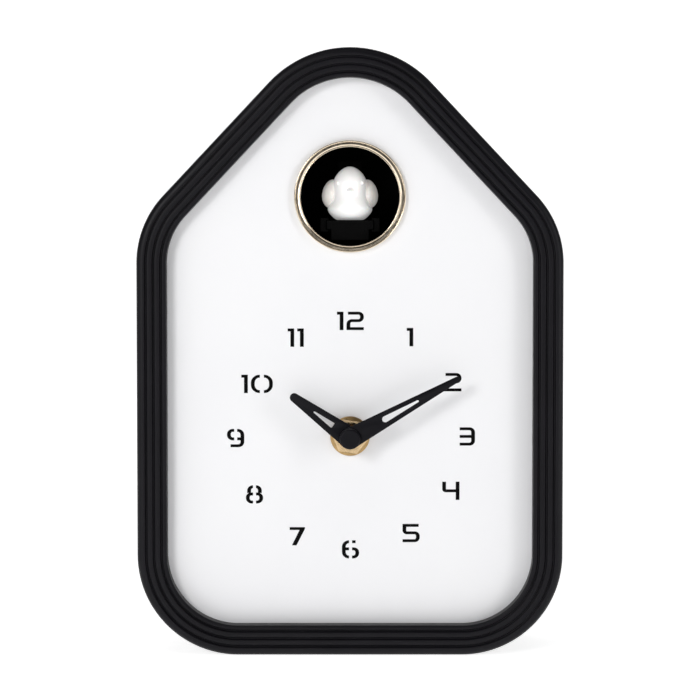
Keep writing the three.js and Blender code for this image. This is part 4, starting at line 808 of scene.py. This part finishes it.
def bushing_nut():
    """A hexagon nut with the usual round chamfer across its corners."""
    flats = 6.0
    tilt = math.radians(52)
    front, back = depth_of("bushing_nut", 0), depth_of("bushing_nut", 1)
    steps = 144

    def across(angle):
        turn = (angle - tilt) % (TAU / 6) - TAU / 12
        return flats / math.cos(turn)

    chamfer = math.tan(math.radians(32))
    bevel = 0.38
    rows = []
    for row in range(9):
        ring = []
        for i in range(steps):
            angle = TAU * i / steps
            corner = across(angle)
            flat_radius = flats * 0.985
            fall = max(0.0, corner - flat_radius) * chamfer
            table = [
                (4.15, back), (4.15, front + 0.5), (4.6, front), (flat_radius - bevel - 0.04, front),
                (flat_radius - bevel, front + 0.02),
                (corner - 0.02, front + fall + bevel), (corner, front + fall + bevel + 0.05),
                (corner, back - 0.1), (corner - 0.1, back),
            ]
            radius, depth = table[row]
            ring.append(point(radius * math.cos(angle), depth, HANDS_Z + radius * math.sin(angle)))
        rows.append(ring)
    vertices, faces = loft(rows, closed_loft=True)
    mesh = mesh_from("bushing_nut_fine", vertices, faces)
    return finish_piece("bushing_nut_fine", mesh, "case", "brass_turned", ["bushing_nut"], sharp=22)


def threaded_bushing():
    """The bushing with its thread ridges, from the movement to just past the nut."""
    tip = depth_of("threaded_bushing", 0)
    back = depth_of("threaded_bushing", 1)
    bore = 2.7
    pitch = 0.75
    profile = [(bore, back), (bore, tip + 0.3), (bore + 0.3, tip), (3.4, tip)]
    depth = tip + 0.3
    while depth < back - 1.2:
        profile += [(3.62, depth), (3.98, depth + 0.3), (3.98, depth + 0.42)]
        depth += pitch
    profile += [(3.9, back - 0.7), (6.4, back - 0.7), (6.5, back - 0.6), (6.5, back)]
    mesh = turned("threaded_bushing_fine", profile, 0, HANDS_Z, 72)
    return finish_piece("threaded_bushing_fine", mesh, "case", "brass_turned", ["threaded_bushing"], sharp=25)


# ------------------------------------------------------------------ hands


def circle(x, z, radius, steps=48):
    angles = [TAU * i / steps for i in range(steps)]
    return [(x + radius * math.cos(a), z + radius * math.sin(a)) for a in angles]


def hull_outline(near, near_radius, far, far_radius):
    """Two circles on a vertical line, joined by their outer tangents."""
    lean = math.degrees(math.asin((near_radius - far_radius) / (far - near)))
    points = arc(0, near, near_radius, 180 - lean, 360 + lean, 40)
    points += arc(0, far, far_radius, lean, 180 - lean, 20)
    return points


def turned_loop(loop, angle):
    """Loop points turned clockwise about the origin, then set on the hands' axis."""
    c, s = math.cos(angle), math.sin(angle)
    return [(x * c + z * s, HANDS_Z - x * s + z * c) for x, z in loop]


def hand(node, body, angle, sizes, window):
    """A hand from its length, tip radius, hub radius and hole radius, with a window cut in it."""
    length, tip, hub, hole = sizes
    name = f"{node}_fine"
    loops = [hull_outline(0, hub, length - tip, tip), circle(0, 0, hole), window]
    loops = [turned_loop(loop, angle) for loop in loops]
    mesh = flat_mesh(name, loops, depth_of(node, 0), depth_of(node, 1), edge=0.16)
    return finish_piece(name, mesh, body, "hand_black", [node], sharp=40)


MINUTE_HAND_ANGLE = math.radians(61)
HOUR_HAND_ANGLE = math.radians(306)
MINUTE_HAND_LENGTH = 46.3
HOUR_HAND_LENGTH = 27.2


def hands():
    long_window = hull_outline(14.9, 1.15, 28.6, 0.4)
    sizes = (MINUTE_HAND_LENGTH, 1.05, 3.9, 1.75)
    hand("minute_hand", "minute_set", MINUTE_HAND_ANGLE, sizes, long_window)
    short_window = arc(-0.72, 8.1, 0.35, 180, 270, 5) + arc(0.72, 8.1, 0.35, 270, 360, 5)
    short_window += arc(0, 16.3, 0.32, 4, 176, 8)
    sizes = (HOUR_HAND_LENGTH, 1.65, 4.1, 2.7)
    hand("hour_hand", "hour_set", HOUR_HAND_ANGLE, sizes, short_window)


def hand_cap():
    """A flat cap with a soft rim and a faint dish in its face."""
    front, back = depth_of("hand_cap", 0), depth_of("hand_cap", 1)
    radius = radius_of("hand_cap")
    soft = 0.55
    profile = [(0, front + 0.06), (radius * 0.5, front + 0.04), (radius - soft - 0.2, front)]
    for a in (0.2, 0.5, 0.8, 1.1, 1.4):
        profile.append((radius - soft + soft * math.sin(a), front + soft - soft * math.cos(a)))
    profile += [(radius, front + soft + 0.1), (radius, back - 0.2), (radius - 0.2, back), (1.75, back)]
    profile += [(1.75, back - 1.4), (0, back - 1.4)]
    mesh = turned("hand_cap_fine", profile, 0, HANDS_Z, 96)
    return finish_piece("hand_cap_fine", mesh, "minute_set", "hand_black", ["hand_cap"], sharp=40)


# ------------------------------------------------------------------ bird

BIRD_MIDDLE = 19.5
BEAK_HEIGHT = 11.4
EYE_HEIGHT = 14.2
TAIL_HEIGHT = 7.4
WING_HEIGHT = 9.9

# Height above the tray against half width, reach to the front and reach to the back
BIRD_WIDTHS = [
    (0.3, 4.9), (0.5, 5.35), (0.9, 6.0), (1.8, 6.95), (3.0, 7.95), (4.3, 8.4), (5.4, 8.1),
    (6.6, 7.3), (7.9, 6.65), (9.5, 6.4), (12.4, 6.35), (14.4, 6.25), (15.8, 5.85), (17.0, 5.2),
    (18.2, 4.25), (19.2, 3.1), (19.9, 1.9), (20.25, 0.9), (20.36, 0.1),
]
BIRD_FRONTS = [
    (0.3, 4.6), (0.9, 6.4), (1.8, 7.9), (3.0, 9.0), (4.3, 9.6), (6.6, 9.3), (9.5, 8.3),
    (12.4, 8.0), (14.4, 7.9), (15.8, 7.4), (17.0, 6.6), (18.2, 5.4), (19.2, 3.9), (19.9, 2.4),
    (20.25, 1.1), (20.36, 0.1),
]
BIRD_BACKS = [
    (0.3, 5.0), (0.9, 6.6), (1.8, 8.2), (3.0, 9.6), (4.3, 10.4), (6.6, 10.2), (9.5, 8.4),
    (12.4, 6.6), (14.4, 6.0), (15.8, 5.6), (17.0, 5.0), (18.2, 4.1), (19.2, 3.0), (19.9, 1.8),
    (20.25, 0.9), (20.36, 0.1),
]


def bird_body():
    """Head and breast in one smooth form, longer behind than in front."""
    rings = []
    layers, around = 60, 80
    first, last = BIRD_WIDTHS[0][0], BIRD_WIDTHS[-1][0]
    for j in range(layers + 1):
        share = j / layers
        height = first + (last - first) * (0.5 - 0.5 * math.cos(math.pi * share))
        width = smooth_curve(BIRD_WIDTHS, height)
        forward = smooth_curve(BIRD_FRONTS, height)
        backward = smooth_curve(BIRD_BACKS, height)
        ring = []
        for i in range(around):
            angle = TAU * i / around
            reach = forward if math.sin(angle) < 0 else backward
            depth = BIRD_MIDDLE + reach * math.sin(angle)
            ring.append(point(width * math.cos(angle), depth, TRAY_TOP + height))
        rings.append(ring)
    body = mesh_from("bird_form", *loft(rings))
    pieces = [body, bird_tail(), bird_beak()] + [bird_eye(side) for side in (-1, 1)]
    mesh = joined_mesh("bird_body_fine", pieces)
    return finish_piece("bird_body_fine", mesh, "bird_set", "bird_white", ["bird_body"], sharp=70)


def bird_beak():
    """A short blunt beak low on the face."""
    rings = []
    sections = [(0, 1.5, 1.2, 0), (0.9, 1.25, 0.95, 0.05), (1.7, 0.8, 0.6, 0.2)]
    sections += [(2.2, 0.38, 0.3, 0.34), (2.4, 0.08, 0.08, 0.4)]
    for along, half_width, half_height, drop in sections:
        ring = []
        for i in range(20):
            angle = TAU * i / 20
            depth = BIRD_MIDDLE - 7.5 - along
            height = BEAK_HEIGHT - drop + half_height * math.sin(angle)
            ring.append(point(half_width * math.cos(angle), depth, TRAY_TOP + height))
        rings.append(ring)
    return mesh_from("bird_beak", *loft(rings))


def bird_eye(side):
    """A low round eye, moulded in the same piece."""
    profile = [(0, 0), (0.35, 0.06), (0.6, 0.22), (0.75, 0.5), (0.8, 1.2), (0, 1.2)]
    rings = []
    for radius, along in profile:
        ring = []
        for i in range(20):
            angle = TAU * i / 20
            x = side * (4.6 - 0.55 * along) + radius * math.cos(angle)
            height = EYE_HEIGHT + radius * math.sin(angle)
            ring.append(point(x, BIRD_MIDDLE - 6.1 + along, TRAY_TOP + height))
        rings.append(ring)
    return mesh_from("bird_eye", *loft(rings, caps=False))


def bird_tail():
    """A flat tail that widens a little behind the body."""
    rings = []
    sections = [(0, 3.6, 2.6, 0), (2.5, 3.3, 1.9, 0.7), (4.5, 3.1, 1.2, 1.5)]
    sections += [(5.8, 2.9, 0.8, 2.1), (6.2, 2.5, 0.5, 2.3), (6.3, 1.8, 0.25, 2.35)]
    for along, half_width, half_height, rise in sections:
        ring = []
        for i in range(28):
            angle = TAU * i / 28
            depth = BIRD_MIDDLE + 6.3 + along
            x = half_width * math.cos(angle)
            height = TAIL_HEIGHT + rise + half_height * math.sin(angle)
            ring.append(point(x, depth, TRAY_TOP + height))
        rings.append(ring)
    return mesh_from("bird_tail", *loft(rings))


def bird_wing(side):
    """A plump folded wing: fuller low down, tapering behind, with shallow feather grooves."""
    shape = bmesh.new()
    bmesh.ops.create_uvsphere(shape, u_segments=72, v_segments=48, radius=1)
    half_width, half_length, half_height = 4.45, 7.4, 5.6
    for vertex in shape.verts:
        x, y, z = vertex.co
        lower = 0.5 - 0.5 * z
        width = half_width * (0.82 + 0.24 * lower)
        taper = 1 - 0.45 * max(0.0, y) ** 1.6
        groove = 0.16 * max(0.0, y + 0.15) * math.sin(9 * (z * 0.8 - 0.35 * y)) ** 8 * max(0.0, x * side)
        droop = -0.6 * max(0.0, y) ** 2
        vertex.co = point(
            side * 6.4 + (x * width - side * groove * half_width) * (1 - 0.25 * max(0.0, y) ** 2),
            BIRD_MIDDLE + 4.6 + y * half_length,
            TRAY_TOP + WING_HEIGHT + droop + z * half_height * taper,
        )
    mesh = bpy.data.meshes.new("wing")
    shape.to_mesh(mesh)
    shape.free()
    node = "bird_wing_left" if side < 0 else "bird_wing_right"
    return finish_piece(f"{node}_fine", mesh, "bird_set", "wing_cream", [node], sharp=80)


# ------------------------------------------------------------------ back cover and door


def rectangle(x0, x1, z0, z1, radius=0.8, steps=6):
    points = []
    for cx, cz, start in [(x1 - radius, z1 - radius, 0), (x0 + radius, z1 - radius, 90),
                          (x0 + radius, z0 + radius, 180), (x1 - radius, z0 + radius, 270)]:
        points += arc(cx, cz, radius, start, start + 90, steps)
    return points


def slot_loop(x, z0, z1, radius, steps=12):
    return arc(x, z1, radius, 0, 180, steps) + arc(x, z0, radius, 180, 360, steps)


KEYHOLE_HEIGHT = 196
GRILLE_RADIUS = 16
GRILLE_PITCH = 4.4
GRILLE_SLOT = 1.1  # half width of a slot
HINGE_PIN_INSET = 1.6  # from the door's low and back edges to the hinge axis


def keyhole_loop(head_z):
    head, slot, length = 4.5, 2.2, 8
    opening = math.degrees(math.asin(slot / head))
    points = arc(0, head_z, head, 90 + opening, 450 - opening, 40)
    return points + arc(0, head_z + length, slot, 0, 180, 16)


def back_cover():
    back = min(depth_of("back_cover", 1), CASE_DEPTH)
    front = back - WALL
    door_low, door_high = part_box("battery_door")
    knob = middle_of("setting_knob")
    switch = middle_of("mode_switch")
    button = middle_of("test_button")
    speaker = middle_of("speaker_cone")
    gap = 0.3
    loops = [house_outline(WALL + gap)]
    door_x0, door_x1 = door_low.x / MM - gap, door_high.x / MM + gap
    door_z0, door_z1 = door_low.z / MM - gap, door_high.z / MM + gap
    loops.append(rectangle(door_x0, door_x1, door_z0, door_z1))
    loops.append(circle(*knob, 7.6, 72))
    loops.append(keyhole_loop(KEYHOLE_HEIGHT))
    loops.append(rectangle(switch[0] - 1.8, switch[0] + 5.8, switch[1] - 1.8, switch[1] + 1.8, 0.4))
    loops.append(circle(*button, 3.3))
    for number in range(1, 5):
        loops.append(circle(*middle_of(f"cover_screw_{number}"), 2.5, 32))
    for i in range(-3, 4):
        aside = i * GRILLE_PITCH
        reach = math.sqrt(GRILLE_RADIUS**2 - aside**2) - GRILLE_SLOT
        loops.append(slot_loop(speaker[0] + aside, speaker[1] - reach, speaker[1] + reach, GRILLE_SLOT))
    plate = flat_mesh("cover_plate", loops, front, back, edge=0.25)
    hinge_z = door_low.z / MM + HINGE_PIN_INSET
    hinge_depth = CASE_DEPTH - HINGE_PIN_INSET
    knuckles = []
    door_width = (door_high.x - door_low.x) / MM
    for side in (-1, 1):
        inner, outer = side * (door_width / 4 + 0.3), side * (door_width / 2 + 1)
        profile = [(0, inner), (1.45, inner), (1.6, inner + side * 0.15), (1.6, outer), (0, outer)]
        knuckles.append(turned_across("knuckle", profile, hinge_depth, hinge_z, 32))
    mesh = joined_mesh("back_cover_fine", [plate] + knuckles)
    return finish_piece("back_cover_fine", mesh, "case", "cover_black", ["back_cover"], sharp=12)


def battery_door():
    low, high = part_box("battery_door")
    x0, x1, z0, z1 = low.x / MM, high.x / MM, low.z / MM, high.z / MM
    front, back = CASE_DEPTH - HINGE_PIN_INSET, CASE_DEPTH
    hinge_z = z0 + HINGE_PIN_INSET
    reach = (x1 - x0) / 4
    bottom = hinge_z + 1.9
    grip = [rectangle(-7, 7, z1 - 4.2 - i * 1.7, z1 - 3.3 - i * 1.7, 0.4, 4) for i in range(3)]
    outline = rectangle(x0, x1, bottom, z1)
    panel = flat_mesh("door_panel", [outline] + grip, front, back, edge=0.2)
    behind_grip = rectangle(-8.5, 8.5, z1 - 9.2, z1 - 2.4)
    backing = flat_mesh("door_backing", [behind_grip], front - 0.05, back - 0.75, edge=0.1)
    to_knuckle = rectangle(-reach, reach, hinge_z, bottom + 0.6, 0.1, 2)
    web = flat_mesh("door_web", [to_knuckle], front + 0.1, back - 0.1, edge=0.08)
    profile = [(0, -reach), (1.45, -reach), (1.6, -reach + 0.15)]
    profile += [(1.6, reach - 0.15), (1.45, reach), (0, reach)]
    knuckle = turned_across("door_knuckle", profile, front, hinge_z, 32)
    mesh = joined_mesh("battery_door_fine", [panel, backing, web, knuckle])
    return finish_piece("battery_door_fine", mesh, "door", "cover_black", ["battery_door"], sharp=12)


def cover_screw(number):
    """A pan head with a cross recess."""
    node = f"cover_screw_{number}"
    x, z = middle_of(node)
    radius = (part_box(node)[1].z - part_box(node)[0].z) / 2 / MM
    back = CASE_DEPTH
    start = depth_of(node, 0)
    steps = 48
    turn = math.radians(17 + 40 * number)
    rows = []
    head_radius = 2.2
    table = [
        (0.001, 0.75), (0.3, 0.75), (0.9, 0.55), (1.5, 0.1), (1.75, 0.02), (2.0, 0.12), (2.15, 0.35),
        (head_radius, 0.6), (head_radius, 1.2), (1.1, 1.2), (1.1, 8.6), (0.001, back - start),
    ]
    for row, (reach, fall) in enumerate(table):
        ring = []
        for i in range(steps):
            angle = TAU * i / steps
            cross = abs(math.cos(2 * (angle - turn))) ** 14
            sunk = fall * cross if row < 4 else fall
            out = reach * radius / head_radius
            ring.append(point(x + out * math.cos(angle), back - sunk, z + out * math.sin(angle)))
        rows.append(ring)
    mesh = mesh_from(node, *loft(rows))
    return finish_piece(f"{node}_fine", mesh, "case", "steel_plated", [node], sharp=30)


def setting_knob():
    """A knurled wheel with a raised rim and a stem."""
    x, z = middle_of("setting_knob")
    back = depth_of("setting_knob", 1)
    radius = radius_of("setting_knob")
    front = back - 5
    stem_start = depth_of("setting_knob", 0)
    steps = 240
    table = [
        (0.001, back - 0.9), (3.6, back - 0.9), (4.2, back - 0.8), (4.7, back - 0.15), (5.0, back),
        (6.2, back), (6.7, back - 0.2), (radius, back - 0.7), (radius, front + 0.5), (radius - 0.5, front),
        (1.5, front), (1.5, stem_start), (0.001, stem_start),
    ]
    rows = []
    for reach, depth in table:
        ring = []
        for i in range(steps):
            angle = TAU * i / steps
            rib = 0.35 * (0.5 - 0.5 * math.cos(36 * angle)) if reach > 6.5 else 0
            out = reach - rib
            ring.append(point(x + out * math.cos(angle), depth, z + out * math.sin(angle)))
        rows.append(ring)
    name = "setting_knob_fine"
    mesh = mesh_from(name, *loft(rows))
    return finish_piece(name, mesh, "setting_set", "acetal_natural", ["setting_knob"], sharp=35)


# ------------------------------------------------------------------ stage, light and camera


def stage_material(name, color, glow):
    material, shader = new_material(name, color, 0.9, specular=0.1)
    shader.inputs["Emission Color"].default_value = (1, 1, 1, 1)
    shader.inputs["Emission Strength"].default_value = glow
    return material


def floor_and_backdrop():
    """A pale floor that curves up into a backdrop."""
    width, near, far, bend, height = 7.0, -3.0, 2.2, 0.8, 3.0
    path = [(near, 0.0), (far - bend, 0.0)]
    for i in range(1, 17):
        a = math.pi / 2 * i / 16
        path.append((far - bend + bend * math.sin(a), bend - bend * math.cos(a)))
    path.append((far, height))
    vertices = [(side * width / 2, y, z) for y, z in path for side in (-1, 1)]
    faces = [(2 * i, 2 * i + 1, 2 * i + 3, 2 * i + 2) for i in range(len(path) - 1)]
    mesh = bpy.data.meshes.new("floor")
    mesh.from_pydata(vertices, [], faces)
    for polygon in mesh.polygons:
        polygon.use_smooth = True
    floor = bpy.data.objects.new("floor", mesh)
    bpy.context.scene.collection.objects.link(floor)
    mesh.materials.append(stage_material("floor_white", (0.86, 0.86, 0.86), 0.78))


def soft_light(name, place, size, watts, target, color=(1, 1, 1)):
    data = bpy.data.lights.new(name, "AREA")
    data.shape = "RECTANGLE"
    data.size, data.size_y = size
    data.energy = watts
    data.color = color
    lamp = bpy.data.objects.new(name, data)
    bpy.context.scene.collection.objects.link(lamp)
    lamp.location = place
    lamp.rotation_euler = (Vector(target) - Vector(place)).to_track_quat("-Z", "Y").to_euler()


def studio_light():
    middle = (0, 0, 0.11)
    soft_light("key", (-0.6, -1.15, 0.5), (0.38, 0.38), 5.8, middle)
    soft_light("left_box", (-0.95, -0.75, 0.35), (0.35, 0.8), 0.7, middle)
    soft_light("right_box", (0.95, -0.75, 0.35), (0.35, 0.8), 3.4, middle)
    soft_light("overhead", (0.0, -0.5, 1.3), (1.4, 0.5), 1.6, middle)
    world = bpy.data.worlds.new("studio")
    bpy.context.scene.world = world
    world.use_nodes = True
    background = world.node_tree.nodes["Background"]
    background.inputs["Color"].default_value = (1, 1, 1, 1)
    background.inputs["Strength"].default_value = 0.05


def camera():
    """Level with the dial, a little above its middle, from about a metre."""
    distance = 1.03
    elevation = math.radians(3.2)
    seen = 0.2594
    target = Vector((0, FRONT_Y, CASE_HEIGHT / 2 * MM + 0.0011))
    data = bpy.data.cameras.new("camera")
    data.sensor_width = 36
    data.lens = data.sensor_width * distance / seen
    data.clip_end = 20
    eye = bpy.data.objects.new("camera", data)
    bpy.context.scene.collection.objects.link(eye)
    eye.location = target + distance * Vector((0, -math.cos(elevation), math.sin(elevation)))
    eye.rotation_euler = (target - eye.location).to_track_quat("-Z", "Y").to_euler()
    bpy.context.scene.camera = eye


# ------------------------------------------------------------------ build

camera()
dress_cad_nodes()
case_shell()
dial_numerals()
window_ring()
bushing_washer()
bushing_nut()
threaded_bushing()
hands()
hand_cap()
bird_body()
for wing_side in (-1, 1):
    bird_wing(wing_side)
back_cover()
battery_door()
for screw_number in range(1, 5):
    cover_screw(screw_number)
setting_knob()
floor_and_backdrop()
studio_light()
bpy.context.scene.view_settings.view_transform = "Standard"
